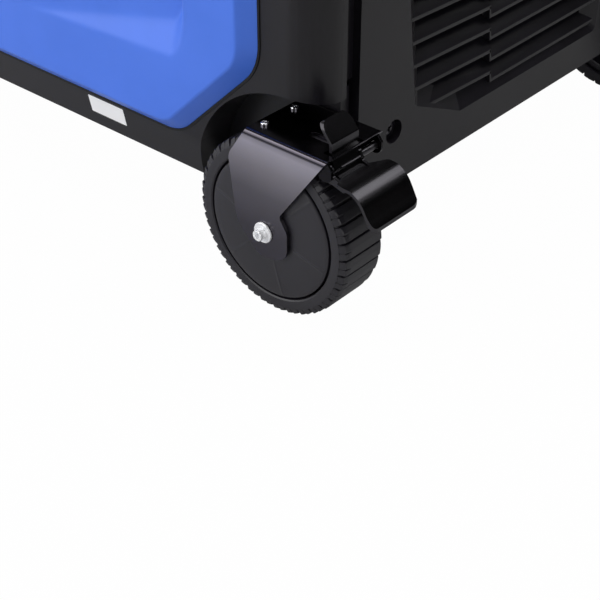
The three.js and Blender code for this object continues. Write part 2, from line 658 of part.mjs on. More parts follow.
// Fork: one bent sheet, its legs cut to the outline that narrows to a round foot at the axle
function wheelBracket() {
  const f = fork;
  const [y0, y1] = [-forkOuterY, -forkInnerY];
  const section = roundedRing([
    [y0, 0, f.bend / 4], [y0 + f.sheet, 0, f.bend / 4],
    [y0 + f.sheet, f.top - f.sheet, f.bend - f.sheet + touchGap],
    [y1 - f.sheet, f.top - f.sheet, f.bend - f.sheet + touchGap], [y1 - f.sheet, 0, f.bend / 4],
    [y1, 0, f.bend / 4],
    [y1, f.top, f.bend], [y0, f.top, f.bend],
  ], 2);
  const bent = prism('X', section, hub.x - f.front, forkFrontX + f.front);
  const footRadius = wheel.radius * legShares.foot;
  const leg = [
    [hub.x - f.rear, f.top, f.bend],
    [hub.x - wheel.radius * legShares.heel[0], hub.z + wheel.radius * legShares.heel[1], footRadius],
    [hub.x - wheel.radius * legShares.toe[0], hub.z + wheel.radius * legShares.toe[1], footRadius],
    [hub.x + wheel.radius * legShares.nose[0], hub.z - wheel.radius * legShares.nose[1], footRadius * 0.8],
    [hub.x + wheel.radius * legShares.waist[0], hub.z + wheel.radius * legShares.waist[1],
    footRadius * 0.4],
    [forkFrontX, f.top, f.bend / 4],
  ];
  const plateBack = hub.x - f.rear;
  const outline = roundedRing([
    ...leg.slice(1).map(([u, v, r]) => [u, v, r]), [forkFrontX, f.top + overrun, f.bend / 4],
    [plateBack, f.top + overrun, f.bend / 4], leg[0],
  ]);
  const sheet = common(bent, prism('Y', outline, -farY * 2, 0));
  const earPlaces = [-forkOuterY + f.sheet + touchGap, -forkInnerY - f.sheet - touchGap - brake.earSheet];
  const ears = earPlaces.map((y) => {
    const plateUnder = f.top - f.sheet / 2;
    const web = block(pivot.x - brake.eyeRadius, pivot.x + f.sheet, y, y + brake.earSheet, pivot.z,
      plateUnder);
    return fuse(web, rod('Y', pivot.x, pivot.z, brake.eyeRadius, y, y + brake.earSheet, 12));
  });
  const slot = block(
    hub.x + wheel.radius * slotShares.from, forkFrontX - f.sheet, -tabFarY,
    -tabFarY + brake.tabWidth * slotShares.width,
    f.top - overrun, f.top + overrun);
  return cut(
    fuse(sheet, ...ears), slot,
    rod('Y', hub.x, hub.z, f.axleRadius + runGap, -farY * 2, 0, 16),
    rod('Y', pivot.x, pivot.z, brake.pinRadius + runGap, -farY * 2, 0, 12),
  );
}

// Shares of the wheel radius, from the axle, that shape the fork's leg and the slot in its top
const legShares = {
  heel: [0.44, 0.76], toe: [0.47, 0.05], nose: [0.32, 0.4], waist: [0.18, 0.31], foot: 0.3,
};
const slotShares = { from: 0.3, width: 0.55 };
const tabFarY = forkOuterY - brake.tabOffset;

function ribbon(points, thickness) {
  const normals = points.map((point, i) => {
    const before = points[Math.max(i - 1, 0)];
    const after = points[Math.min(i + 1, points.length - 1)];
    const along = new THREE.Vector2(after[0] - before[0], after[1] - before[1]).normalize();
    return [-along.y, along.x];
  });
  return [
    ...points,
    ...points.map(([x, z], i) => [x + normals[i][0] * thickness, z + normals[i][1] * thickness]).reverse(),
  ];
}

// Brake rocker: release tab, web, side cheeks on the pin, a curved pedal and a shoe over the tread
function brakePedal() {
  const b = brake;
  const faceX = forkFrontX + touchGap;
  const step = b.sheet;
  const tab = [
    [faceX - step * 7.2, fork.top + step * 10.4], [faceX - step * 0.4, fork.top + step * 4.6],
    [faceX, fork.top + step * 3.8], [faceX, pivot.z + step * 0.4],
    [faceX + step * 0.8, pivot.z - step * 0.6]];
  const stem = prism('Y', ribbon(tab, b.sheet), -tabFarY, -tabFarY + b.tabWidth);
  const trimmed = cut(stem, ...[0, 1].map((sideShare) => {
    const y = -tabFarY + b.tabWidth * sideShare;
    const inward = sideShare ? -1 : 1;
    const r = step * 3;
    const [top, low] = [fork.top + step * 12, fork.top + step * 10.4 - r];
    const corner = block(faceX - step * 12, faceX + step,
      ...[y - inward * r, y + inward * r].sort((p, q) => p - q),
      low, top);
    return cut(corner, rod('X', y + inward * r, low, r, faceX - step * 13, faceX + step * 2, 12));
  }));
  const padFar = -forkOuterY + b.padOffset;
  const padPoints = [
    [faceX + step * 0.4, pivot.z + step * 0.2], [faceX + step * 4.6, pivot.z - step * 1.6],
    [faceX + step * 7.8, pivot.z - step * 2], [faceX + step * 10, pivot.z - step * 3.4],
    [faceX + step * 11.6, pivot.z - step * 5.6], [faceX + step * 13, pivot.z - step * 8],
    [faceX + step * 14.8, pivot.z - step * 9.8], [faceX + step * 17, pivot.z - step * 10.4]];
  const pad = prism('Y', ribbon(padPoints, -b.sheet), padFar, padFar + b.padWidth);
  const r = step * 4;
  const plan = roundedRing([
    [faceX + step * 2.2, padFar, r / 4], [faceX + step * 17.6, padFar, r],
    [faceX + step * 17.6, padFar + b.padWidth, r],
    [faceX + step * 2.6, padFar + b.padWidth, r / 2], [faceX + step * 2.6, -tabFarY + b.tabWidth, r / 8],
    [faceX - step, -tabFarY + b.tabWidth, r / 8], [faceX - step, -tabFarY, r / 8],
    [faceX + step * 2.2, -tabFarY, r / 8]], 3);
  const shapedPad = common(pad, prism('Z', plan, 0, body.top));
  const shoeFrom = wheel.radius + b.shoeGap;
  const arc = (radius, from, to, count) => Array.from({ length: count + 1 }, (_, i) => {
    const angle = THREE.MathUtils.degToRad(from + ((to - from) * i) / count);
    return [hub.x + radius * Math.cos(angle), hub.z + radius * Math.sin(angle)];
  });
  const shoeRing = [
    ...arc(shoeFrom, shoeAngles.low, shoeAngles.high, 2),
    [pivot.x - b.eyeRadius * 0.8, pivot.z], [pivot.x, pivot.z + b.eyeRadius * 0.8],
    [pivot.x + b.eyeRadius * 0.7, pivot.z + b.eyeRadius * 0.2],
    ...arc(shoeFrom + b.shoeThickness, shoeAngles.taper, shoeAngles.low, 2)];
  const cheekGap = -forkOuterY + fork.sheet + touchGap + b.earSheet + touchGap;
  const shoe = prism('Y', shoeRing, -tabFarY + b.tabWidth * 0.2, -tabFarY + b.tabWidth * 0.95);
  const cheekRing = roundedRing([
    [pivot.x - b.eyeRadius * 0.9, pivot.z - b.eyeRadius * 0.9, b.eyeRadius * 0.7],
    [pivot.x + b.eyeRadius, pivot.z - b.eyeRadius * 0.95, b.eyeRadius * 0.3],
    [faceX + step * 4.8, pivot.z - step * 3.6, step / 4],
    [faceX + step * 4.6, pivot.z - step * 1.7, step / 4],
    [faceX, pivot.z + b.eyeRadius * 0.6, step / 4], [pivot.x - b.eyeRadius * 0.9,
    pivot.z + b.eyeRadius * 0.9,
      b.eyeRadius * 0.7]]);
  const cheek = prism('Y', cheekRing, cheekGap, cheekGap + b.sheet);
  const farCheek = prism('Y', cheekRing, -tabFarY + b.tabWidth - b.sheet, -tabFarY + b.tabWidth);
  const neckLink = block(pivot.x - b.eyeRadius * 0.6, faceX + step * 0.9, cheekGap, -tabFarY + b.tabWidth,
    pivot.z - b.eyeRadius * 0.6, pivot.z + b.eyeRadius * 0.3);
  return cut(
    fuse(trimmed, shapedPad, shoe, cheek, farCheek, neckLink),
    rod('Y', pivot.x, pivot.z, b.pinRadius + runGap, -farY * 2, 0, 12),
    rod('Y', hub.x, hub.z, shoeFrom, -farY * 2, 0, 64),
  );
}

const shoeAngles = { low: 44, taper: 48, high: 50 };

function brakePin() {
  const from = -forkOuterY + fork.sheet + touchGap;
  const to = -forkInnerY - fork.sheet - touchGap;
  return rod('Y', pivot.x, pivot.z, brake.pinRadius, from, to, 12);
}

function brakeSpring() {
  const under = fork.top - fork.sheet - touchGap;
  const t = brake.sheet * 0.6;
  const back = hub.x - fork.rear * 0.8;
  const tip = pivot.x - brake.eyeRadius - runGap;
  const line = [[back, under - t], [tip - t * 6, under - t], [tip - t * 2, under - t * 2.4],
    [tip, under - t * 4]];
  const midY = -(forkOuterY + forkInnerY) / 2;
  const half = brake.tabWidth * 0.3;
  return prism('Y', ribbon(line, t), midY - half, midY + half);
}

function axleBolt() {
  const f = fork;
  const washer = f.sheet * 0.55;
  const out = -forkOuterY - touchGap;
  const tip = wellBack - f.axleRadius * 2;
  const headEnd = out - washer - f.axleRadius * 1.5;
  const pin = rod('Y', hub.x, hub.z, f.axleRadius, headEnd, -tip, 16);
  const disc = lathe('Y', hub.x, hub.z, [
    [f.axleRadius * 1.9, out], [f.axleRadius * 1.9, out - washer * 0.7],
    [f.axleRadius * 1.7, out - washer]], 16);
  return fuse(pin, disc);
}

function axleNut() {
  const f = fork;
  const from = -wellBack + touchGap;
  return cut(
    rod('Y', hub.x, hub.z, f.axleRadius * 1.7, from, from + f.axleRadius * 1.4, 6),
    rod('Y', hub.x, hub.z, f.axleRadius + runGap, from - overrun, from + overrun * 2, 16));
}

// Engine bay
function crankcase() {
  const e = engine;
  const profile = roundedRing(rectangle(-e.halfWidth, e.halfWidth, e.bottom, e.top, e.corner), 1);
  const core = prism('X', profile, e.front, e.rear);
  const pitch = (e.rear - e.front) / e.ribs;
  const grown = roundedRing(rectangle(
    -e.halfWidth - e.ribDepth, e.halfWidth + e.ribDepth, e.bottom, e.top - e.corner, e.corner), 1);
  const ribs = Array.from({ length: e.ribs }, (_, i) => {
    const x = e.front + pitch * (i + 0.5);
    return prism('X', grown, x - e.ribWidth / 2, x + e.ribWidth / 2);
  });
  return cut(fuse(core, ...ribs), rod('X', 0, shaft.z, shaft.radius + runGap, e.front - overrun,
    e.rear + overrun, 16));
}

function cylinder() {
  const e = engine;
  const base = e.top + touchGap;
  const height = e.fins * e.finPitch;
  const barrel = rod('Z', e.cylinderX, 0, e.barrelRadius, base, base + height, 12);
  const finRing = roundedRing(rectangle(
    e.cylinderX - e.cylinderHalf, e.cylinderX + e.cylinderHalf, -e.cylinderHalf, e.cylinderHalf,
    e.corner), 1);
  const fins = Array.from({ length: e.fins }, (_, i) => {
    const z = base + (i + 1) * e.finPitch - e.fin;
    return prism('Z', finRing, z, z + e.fin);
  });
  return fuse(barrel, ...fins);
}

function rockerCover() {
  const e = engine;
  const z0 = e.top + touchGap * 2 + e.fins * e.finPitch;
  const corners = rectangle(e.cylinderX - e.cylinderHalf * 0.9, e.cylinderX + e.cylinderHalf * 0.9,
    -e.cylinderHalf * 0.8, e.cylinderHalf * 0.8, e.corner);
  return loft('Z', [
    { ring: roundedRing(corners), at: z0 }, { ring: roundedRing(corners), at: z0 + e.coverHeight * 0.7 },
    { ring: roundedRing(inset(corners, e.coverHeight * 0.3)), at: z0 + e.coverHeight }]);
}

function engineMount(x) {
  return block(x - mount.halfLength, x + mount.halfLength, -mount.halfWidth, mount.halfWidth,
    trayFloor + touchGap, engine.bottom - touchGap);
}

const statorFace = engine.front - touchGap;

function alternatorStator() {
  const a = alternator;
  return ring('X', 0, shaft.z, a.outer, a.bore, statorFace - a.stack, statorFace, 24);
}

function alternatorRotor() {
  const a = alternator;
  const overhang = a.stack * (1 - a.coilShare) / 2;
  const drum = rod('X', 0, shaft.z, a.bore - a.airGap, statorFace - a.stack + overhang,
    statorFace - overhang, 24);
  const axle = rod('X', 0, shaft.z, shaft.radius, fan.front + touchGap, engine.rear, 16);
  return fuse(drum, axle);
}

function coolingFan() {
  const f = fan;
  const hubBack = f.front + f.hubLength;
  const core = rod('X', 0, shaft.z, f.hubRadius, f.front, hubBack, 14);
  const plate = rod('X', 0, shaft.z, f.radius, hubBack - f.bladeSheet, hubBack, 21);
  const vanes = Array.from({ length: f.blades }, (_, i) => {
    const angle = (i / f.blades) * 2 * Math.PI;
    const vane = block(hubBack - f.bladeSheet - f.bladeLength, hubBack - f.bladeSheet / 2,
      f.hubRadius * 0.8,
      f.radius * 0.97, shaft.z - f.bladeSheet / 2, shaft.z + f.bladeSheet / 2);
    return vane.translate(0, 0, -shaft.z).rotateX(angle).translate(0, 0, shaft.z);
  });
  return cut(fuse(core, plate, ...vanes), rod('X', 0, shaft.z, shaft.radius + runGap, f.front - overrun * 6,
    hubBack + overrun, 16));
}

function mufflerBox() {
  const m = muffler;
  const ringOf = (depth) => roundedRing(inset(rectangle(
    m.y - m.halfWidth, m.y + m.halfWidth, m.z - m.halfHeight, m.z + m.halfHeight, m.radius), depth));
  const can = loft('X', [
    { ring: ringOf(m.radius / 3), at: m.front }, { ring: ringOf(0), at: m.front + m.radius / 3 },
    { ring: ringOf(0), at: m.rear - m.radius / 3 }, { ring: ringOf(m.radius / 3), at: m.rear }]);
  return can;
}

function exhaustOutlet() {
  const x = exhaust;
  const from = muffler.rear + touchGap;
  const to = halfLength + x.reach;
  const pipe = rod('X', x.y, x.z, x.radius, from, to, 16);
  const lip = lathe('X', x.y, x.z, [
    [x.radius + x.flange, halfLength + touchGap], [x.radius + x.flange, halfLength + x.flangeWidth],
    [x.radius, halfLength + x.flangeWidth * 2]], 16);
  return cut(fuse(pipe, lip), rod('X', x.y, x.z, x.bore, to - x.screenDepth, to + overrun, 16));
}

function fuelTank() {
  const t = tank;
  const corners = rectangle(t.front, t.rear, -t.halfWidth, t.halfWidth, t.radius * 1.6);
  const small = roundedRing(inset(corners, t.radius * 0.5), 2);
  const large = roundedRing(corners, 2);
  const tankBody = loft('Z', [
    { ring: small, at: t.bottom }, { ring: large, at: t.bottom + t.radius * 0.5 },
    { ring: large, at: t.top - t.radius }, { ring: small, at: t.top }]);
  return fuse(tankBody, rod('Z', t.neckX, 0, neck.radius, t.top - overrun, body.top + neck.rise,
    neck.sides));
}

function fuelCap() {
  const z0 = body.top + neck.rise + touchGap;
  const c = cap;
  const points = c.lobes * 3;
  const lobed = Array.from({ length: points }, (_, i) => {
    const angle = (i / points) * 2 * Math.PI;
    const r = c.radius - c.lobeDepth * (1 - Math.cos(angle * c.lobes)) / 2;
    return [tank.neckX + r * Math.cos(angle), r * Math.sin(angle)];
  });
  const knob = prism('Z', lobed, z0, z0 + c.height);
  const crown = lathe('Z', tank.neckX, 0, [
    [c.radius + c.crown, z0 - overrun], [c.radius + c.crown, z0 + c.height - c.crown],
    [c.radius - c.crown, z0 + c.height]], points);
  return common(knob, crown);
}

function airCleaner() {
  const a = airBox;
  const corners = rectangle(a.x - a.halfLength, a.x + a.halfLength, a.y - a.halfWidth, a.y + a.halfWidth,
    a.radius);
  const housing = prism('Z', roundedRing(corners), a.bottom, a.top);
  const mid = (a.bottom + a.top) / 2;
  return fuse(housing, prism('Z', roundedRing(inset(corners, -a.seam)), mid - a.seam, mid + a.seam));
}

function carburettor() {
  const from = airBox.y + airBox.halfWidth + airBox.seam + touchGap;
  const to = -engine.cylinderHalf - touchGap;
  const throat = rod('Y', engine.cylinderX, carb.z, carb.radius, from, to, 12);
  const mid = (from + to) / 2;
  const bowl = rod('Z', engine.cylinderX, mid, carb.bowlRadius, carb.z - carb.bowlHeight, carb.z, 12);
  return fuse(throat, bowl);
}

function inverterModule() {
  const v = inverter;
  const z0 = trayFloor + touchGap;
  const slab = block(v.front + v.base, v.rear, -v.halfWidth, v.halfWidth, z0, v.top - v.fins * v.fin);
  const fins = Array.from({ length: v.fins }, (_, i) => {
    const y = (i - (v.fins - 1) / 2) * v.finPitch * 2.4;
    return block(v.front + v.base, v.rear, y - v.fin / 2, y + v.fin / 2, z0, v.top);
  });
  return fuse(slab, ...fins);
}

function batteryBox() {
  const b = battery;
  const z0 = trayFloor + touchGap;
  const corners = rectangle(b.x - b.halfLength, b.x + b.halfLength, b.y - b.halfWidth, b.y + b.halfWidth,
    b.post);
  const posts = [-1, 1].map((side) => rod('Z', b.x + side * (b.halfLength - b.postInset), b.y - b.halfWidth
    + b.postInset, b.post, z0 + b.height - b.post, z0 + b.height + b.postHeight, 16));
  return fuse(prism('Z', roundedRing(corners), z0, z0 + b.height), ...posts);
}

// Controls. Each is drawn facing +X and turned to face the front.
const atFascia = halfLength - controlWindow.depth - touchGap;

function slideHole(y, z, radius) {
  return rod('X', y, z, radius + runGap, atFascia - fascia.sheet - overrun, atFascia + overrun, 16);
}

function rockerWell(y, grown) {
  const r = rocker;
  return prism('X', roundedRing(rectangle(
    y - r.halfWidth - grown, y + r.halfWidth + grown, r.z - r.halfHeight - grown,
    r.z + r.halfHeight + grown, grown), 1),
  atFascia - fascia.sheet - overrun, atFascia + overrun);
}

function controlFascia() {
  const plate = prism('X', roundedRing(windowCorners(fascia.lap)), atFascia - fascia.sheet, atFascia);
  const collars = [
    ring('X', startButton.y, startButton.z, startButton.collar, startButton.radius + runGap,
      atFascia - touchGap, atFascia + startButton.collarProud),
    ...[0, 1].map((i) => ring('X', breaker.y, breaker.z - i * breaker.pitch, breaker.collar,
    breaker.radius + runGap,
      atFascia - touchGap, atFascia + breaker.collarProud)),
    ...Object.values(rockerPlaces).map((y) => cut(
      prism('X', roundedRing(rectangle(
        y - rocker.halfWidth - rocker.bezel, y + rocker.halfWidth + rocker.bezel,
        rocker.z - rocker.halfHeight - rocker.bezel, rocker.z + rocker.halfHeight + rocker.bezel,
        rocker.bezel), 1),
      atFascia - touchGap, atFascia + rocker.bezelProud),
      rockerWell(y, runGap))),
  ];
  return turned(cut(
    fuse(plate, ...collars),
    slideHole(startButton.y, startButton.z, startButton.radius),
    ...[0, 1].map((i) => slideHole(breaker.y, breaker.z - i * breaker.pitch, breaker.radius)),
    ...Object.values(rockerPlaces).map((y) => rockerWell(y, runGap)),
    slideHole(dial.y, dial.z, dial.skirt),
  ));
}

function pushButton(y, z, radius, proud) {
  const back = atFascia - fascia.sheet;
  return turned(lathe('X', y, z, [
    [radius, back], [radius, atFascia + proud - radius / 8], [radius * 0.86, atFascia + proud]], 16));
}

function rockerSwitch(y) {
  const r = rocker;
  const swing = THREE.MathUtils.degToRad(r.swing / 2);
  const top = atFascia + r.proud;
  const sideRing = [
    [atFascia - fascia.sheet, r.z - r.halfHeight * 0.7], [atFascia, r.z - r.halfHeight * 0.92],
    [top - r.halfHeight * Math.tan(swing), r.z - r.halfHeight * 0.92], [top - r.proud * 0.4, r.z],
    [top + r.halfHeight * Math.tan(swing) - r.proud * 0.2, r.z + r.halfHeight * 0.92],
    [atFascia, r.z + r.halfHeight * 0.92], [atFascia - fascia.sheet, r.z + r.halfHeight * 0.7]];
  return turned(prism('Y', sideRing, y - r.halfWidth, y + r.halfWidth));
}

function selectorKnob() {
  const d = dial;
  const base = atFascia + touchGap;
  const skirt = lathe('X', d.y, d.z, [[d.radius, base], [d.radius, base + d.skirt],
    [d.radius * 0.9, base + d.skirt * 1.4]],
    20);
  const grip = prism('X', roundedRing(rectangle(
    d.y - d.grip / 2, d.y + d.grip / 2, d.z - d.radius * 0.88, d.z + d.radius * 0.88, d.grip * 0.4), 1),
  base + d.skirt, base + d.proud);
  const stem = rod('X', d.y, d.z, d.skirt, atFascia - fascia.sheet, base + touchGap, 12);
  return turned(fuse(skirt, grip, stem));
}

function duplexOutlet(i) {
  const o = outlet;
  const y = o.y - i * o.pitch;
  const x0 = atFascia + touchGap;
  const x1 = x0 + o.proud;
  const plate = prism('X', roundedRing(rectangle(
    y - o.halfWidth, y + o.halfWidth, o.z - o.halfHeight, o.z + o.halfHeight, o.radius), 2), x0, x1);
  const slots = [-1, 1].flatMap((half) => {
    const z = o.z + half * o.faceOffset;
    const bar = (side) => block(x1 - o.slotDepth, x1 + overrun,
      y + side * o.slotSpacing / 2 - o.slotWidth / 2,
      y + side * o.slotSpacing / 2 + o.slotWidth / 2, z - o.slotHeight / 2, z + o.slotHeight / 2);
    return [bar(-1), bar(1), rod('X', y, z - o.pinDrop, o.pinRadius, x1 - o.slotDepth, x1 + overrun, 8)];
  });
  return turned(cut(plate, ...slots));
}

function lockingOutlet() {
  const o = lockOutlet;
  const x0 = atFascia + touchGap;
  const x1 = x0 + o.proud;
  const base = rod('X', o.y, o.z, o.radius, x0, x1, 16);
  const slots = Array.from({ length: o.slots }, (_, i) => {
    const turn = (i / o.slots) * 2 * Math.PI;
    const bar = block(x1 - o.recess * 1.6, x1 + overrun, o.ring - o.slotWidth / 2, o.ring + o.slotWidth / 2,
      -o.slotWidth * 1.6, o.slotWidth * 1.6);
    return bar.rotateX(turn).translate(0, o.y, o.z);
  });
  const lug = (side) => ring('Y', atFascia + lockLid.hinge * 2, o.z + lockLid.hingeRise, lockLid.hinge,
    lockLid.pin + runGap * 1.4, o.y + side * lockLid.width / 2 - lockLid.hinge,
    o.y + side * lockLid.width / 2
    + lockLid.hinge, 8);
  const saddle = block(x0, x0 + lockLid.hinge * 0.8, o.y - lockLid.width * 0.7, o.y + lockLid.width * 0.7,
    o.z + o.radius * 0.6, o.z + lockLid.hingeRise + lockLid.hinge);
  const posts = [-1, 1].map((side) => block(x0, atFascia + lockLid.hinge * 2, o.y + side * lockLid.width / 2
    - lockLid.hinge, o.y + side * lockLid.width / 2 + lockLid.hinge,
      o.z + lockLid.hingeRise - lockLid.hinge * 0.5,
  o.z + lockLid.hingeRise + lockLid.hinge * 0.5));
  const bore = rod('Y', atFascia + lockLid.hinge * 2, o.z + lockLid.hingeRise, lockLid.pin + runGap * 1.4,
    o.y - lockLid.width, o.y + lockLid.width, 8);
  return turned(cut(fuse(cut(base, ...slots), saddle, ...posts, lug(-1), lug(1)), bore));
}

function outletCover() {
  const o = lockOutlet;
  const l = lockLid;
  const back = atFascia + touchGap + o.proud + l.lift;
  const lid = lathe('X', o.y, o.z, [
    [l.radius, back], [l.radius, back + l.thickness * 0.6], [l.radius * 0.94, back + l.thickness]], 16);
  const hx = atFascia + l.hinge * 2;
  const hz = o.z + l.hingeRise;
  const half = l.width / 2 - l.hinge - touchGap;
  const barrel = rod('Y', hx, hz, l.hinge, o.y - half, o.y + half, 12);
  const arm = block(back, back + l.thickness * 0.6, o.y - half, o.y + half, o.z + l.radius * 0.7, hz);
  const pin = rod('Y', hx, hz, l.pin, o.y - half - l.hinge * 2, o.y + half + l.hinge * 2, 12);
  return turned(fuse(lid, arm, barrel, pin));
}

function groundTerminal() {
  const g = ground;
  const x0 = atFascia + touchGap;
  const plate = rod('X', g.y, g.z, g.plate, x0, x0 + g.plateProud, 6);
  const stud = rod('X', g.y, g.z, g.stud, x0, x0 + g.studProud, 12);
  const nutRing = roundedRing(rectangle(
    g.y - g.wing, g.y + g.wing, g.z - g.wingSheet / 2, g.z + g.wingSheet / 2, g.wingSheet / 3), 2);
  const wings = prism('X', nutRing, x0 + g.plateProud + g.wingSheet,
    x0 + g.plateProud + g.wingSheet + g.wingHeight);
  const boss = rod('X', g.y, g.z, g.stud * 1.8, x0 + g.plateProud - touchGap,
    x0 + g.plateProud + g.wingHeight, 12);
  return turned(fuse(plate, stud, wings, boss));
}

function displayGlass() {
  const d = displayPane;
  const corners = rectangle(
    d.y - d.halfWidth, d.y + d.halfWidth, d.z - d.halfHeight, d.z + d.halfHeight, d.radius);
  const x0 = atFascia + touchGap;
  return turned(loft('X', [
    { ring: roundedRing(corners), at: x0 }, { ring: roundedRing(corners), at: x0 + d.proud / 2 },
    { ring: roundedRing(inset(corners, d.proud)), at: x0 + d.proud }]));
}

// Handle: a bent tube that hangs from two brackets, with a foam sleeve
const handleX = -halfLength - handle.standoff;

function pullHandle() {
  const h = handle;
  const low = h.pivotZ - h.drop;
  const path = [];
  const arcSteps = 3;
  const arcTo = (side, forward) => {
    for (let i = 0; i <= arcSteps; i += 1) {
      const share = forward ? i / arcSteps : 1 - i / arcSteps;
      const turn = share * (Math.PI / 2);
      path.push(new THREE.Vector3(handleX, side * (h.halfWidth - h.bend * (1 - Math.cos(turn))),
        low + h.bend * (1 - Math.sin(turn))));
    }
  };
  path.push(new THREE.Vector3(handleX, -h.halfWidth, h.pivotZ));
  arcTo(-1, true);
  arcTo(1, false);
  path.push(new THREE.Vector3(handleX, h.halfWidth, h.pivotZ));
  const tube = sweep(path, h.tube, h.sides);
  const eyes = [-1, 1].map((side) =>
    rod('Y', handleX, h.pivotZ, h.eye, side * h.halfWidth - h.eyeLength / 2,
    side * h.halfWidth + h.eyeLength / 2, 12));
  return cut(fuse(tube, ...eyes), rod('Y', handleX, h.pivotZ, h.pin + runGap, -farY, farY, 12));
}

// A round tube through a flat run of points; each ring lies on the mitre between its two stretches
function sweep(points, radius, sides) {
  const positions = [];
  const index = [];
  const out = new THREE.Vector3(1, 0, 0);
  points.forEach((point, i) => {
    const before = points[Math.max(i - 1, 0)];
    const after = points[Math.min(i + 1, points.length - 1)];
    const along = after.clone().sub(before).normalize();
    const across = along.clone().cross(out).normalize();
    for (let k = 0; k < sides; k += 1) {
      const turn = (k / sides) * 2 * Math.PI;
      const p = point.clone().addScaledVector(out, radius * Math.cos(turn)).addScaledVector(across,
        radius * Math.sin(turn));
      positions.push(...p.toArray());
    }
  });
  for (let i = 0; i + 1 < points.length; i += 1) {
    for (let k = 0; k < sides; k += 1) {
      const l = (k + 1) % sides;
      const [a, b, c, d] = [i * sides + k, i * sides + l, (i + 1) * sides + l, (i + 1) * sides + k];
      index.push(a, b, c, a, c, d);
    }
  }
  const last = (points.length - 1) * sides;
  for (let k = 1; k + 1 < sides; k += 1) {
    index.push(0, k + 1, k);
    index.push(last, last + k, last + k + 1);
  }
  const geometry = new THREE.BufferGeometry();
  geometry.setAttribute('position', new THREE.Float32BufferAttribute(positions, 3));
  geometry.setIndex(index);
  return faceOutward(geometry);
}

function handleGrip() {
  const h = handle;
  const low = h.pivotZ - h.drop;
  return ring('Y', handleX, low, h.grip, h.tube + runGap, -h.gripHalf, h.gripHalf, 16);
}

function handleBracket() {
  const h = handle;
  const face = -halfLength - touchGap;
  const outerY = -h.halfWidth - h.eyeLength / 2 - touchGap;
  const base = block(face - h.base, face, outerY - h.ear, outerY - h.ear + h.baseWidth,
    h.pivotZ - h.baseHeight / 2, h.pivotZ + h.baseHeight / 2);
  const ear = fuse(
    block(handleX, face - touchGap, outerY - h.ear, outerY, h.pivotZ - h.eye, h.pivotZ + h.eye),
    rod('Y', handleX, h.pivotZ, h.eye, outerY - h.ear, outerY, 14));
  const pin = rod('Y', handleX, h.pivotZ, h.pin, outerY - h.ear / 2,
    -h.halfWidth + h.eyeLength / 2 + h.pin, 12);
  const head = rod('Y', handleX, h.pivotZ, h.pin * 1.7, -h.halfWidth + h.eyeLength / 2 + touchGap,
    -h.halfWidth + h.eyeLength / 2 + h.pin, 14);
  return fuse(base, ear, pin, head);
}

// Assembly
const group = new THREE.Group();

function place(name, geometry, colour, finish) {
  geometry.computeVertexNormals();
  const [roughness, metalness] = finishes[finish];
  const mesh = new THREE.Mesh(geometry, new THREE.MeshStandardMaterial({ color: colours[colour],
    roughness, metalness }));
  mesh.name = name;
  group.add(mesh);
}

function placePair(name, geometry, colour, finish) {
  place(`${name}_left`, geometry, colour, finish);
  place(`${name}_right`, mirrored(geometry), colour, finish);
}

placePair('side_frame', sideFrame(), 'black', 'plastic');
placePair('side_panel', sidePanel(), 'blue', 'gloss');
place('end_panel', endPanel(), 'black', 'plastic');
place('front_panel', frontPanel(), 'black', 'plastic');
place('top_cover', topCover(), 'black', 'plastic');
place('base_tray', baseTray(), 'steelBlack', 'paint');
placePair('front_foot', frontFoot(), 'rubber', 'rubber');
placePair('tyre', tyre(), 'rubber', 'rubber');
placePair('wheel_hub', wheelHub(), 'hub', 'plastic');
placePair('wheel_bracket', wheelBracket(), 'steelBlack', 'gloss');
placePair('brake_pedal', brakePedal(), 'steelBlack', 'gloss');
placePair('brake_pin', brakePin(), 'zinc', 'metal');
placePair('brake_spring', brakeSpring(), 'zinc', 'metal');
placePair('axle_bolt', axleBolt(), 'zinc', 'metal');
placePair('axle_nut', axleNut(), 'zinc', 'metal');
place('crankcase', crankcase(), 'castAlloy', 'metal');
place('cylinder', cylinder(), 'castAlloy', 'metal');
place('rocker_cover', rockerCover(), 'steelBlack', 'paint');
place('engine_mount_front', engineMount(engine.front + mount.halfLength), 'rubber', 'rubber');
place('engine_mount_rear', engineMount(engine.rear - mount.halfLength), 'rubber', 'rubber');
place('alternator_stator', alternatorStator(), 'copper', 'metal');
place('alternator_rotor', alternatorRotor(), 'iron', 'metal');
place('cooling_fan', coolingFan(), 'black', 'plastic');
place('muffler', mufflerBox(), 'iron', 'metal');
place('exhaust_outlet', exhaustOutlet(), 'iron', 'metal');
place('fuel_tank', fuelTank(), 'tank', 'plastic');
place('fuel_cap', fuelCap(), 'black', 'plastic');
place('air_cleaner', airCleaner(), 'black', 'plastic');
place('carburettor', carburettor(), 'castAlloy', 'metal');
place('inverter_module', inverterModule(), 'castAlloy', 'metal');
place('battery', batteryBox(), 'grey', 'plastic');
place('control_fascia', controlFascia(), 'grey', 'plastic');
place('display', displayGlass(), 'glass', 'gloss');
place('start_button', pushButton(startButton.y, startButton.z, startButton.radius, startButton.proud),
  'red', 'gloss');
place('engine_switch', rockerSwitch(rockerPlaces.engine), 'red', 'gloss');
place('eco_switch', rockerSwitch(rockerPlaces.eco), 'black', 'gloss');
place('selector_knob', selectorKnob(), 'black', 'plastic');
['duplex_outlet_left', 'duplex_outlet_right'].forEach((name, i) => {
  place(name, duplexOutlet(i), 'outletGrey', 'plastic');
});
place('locking_outlet', lockingOutlet(), 'outletGrey', 'plastic');
place('outlet_cover', outletCover(), 'rubber', 'rubber');
['breaker_upper', 'breaker_lower'].forEach((name, i) => {
  place(name, pushButton(breaker.y, breaker.z - i * breaker.pitch, breaker.radius, breaker.proud),
    'black', 'plastic');
});
place('ground_terminal', groundTerminal(), 'zinc', 'metal');
place('pull_handle', pullHandle(), 'steelBlack', 'gloss');
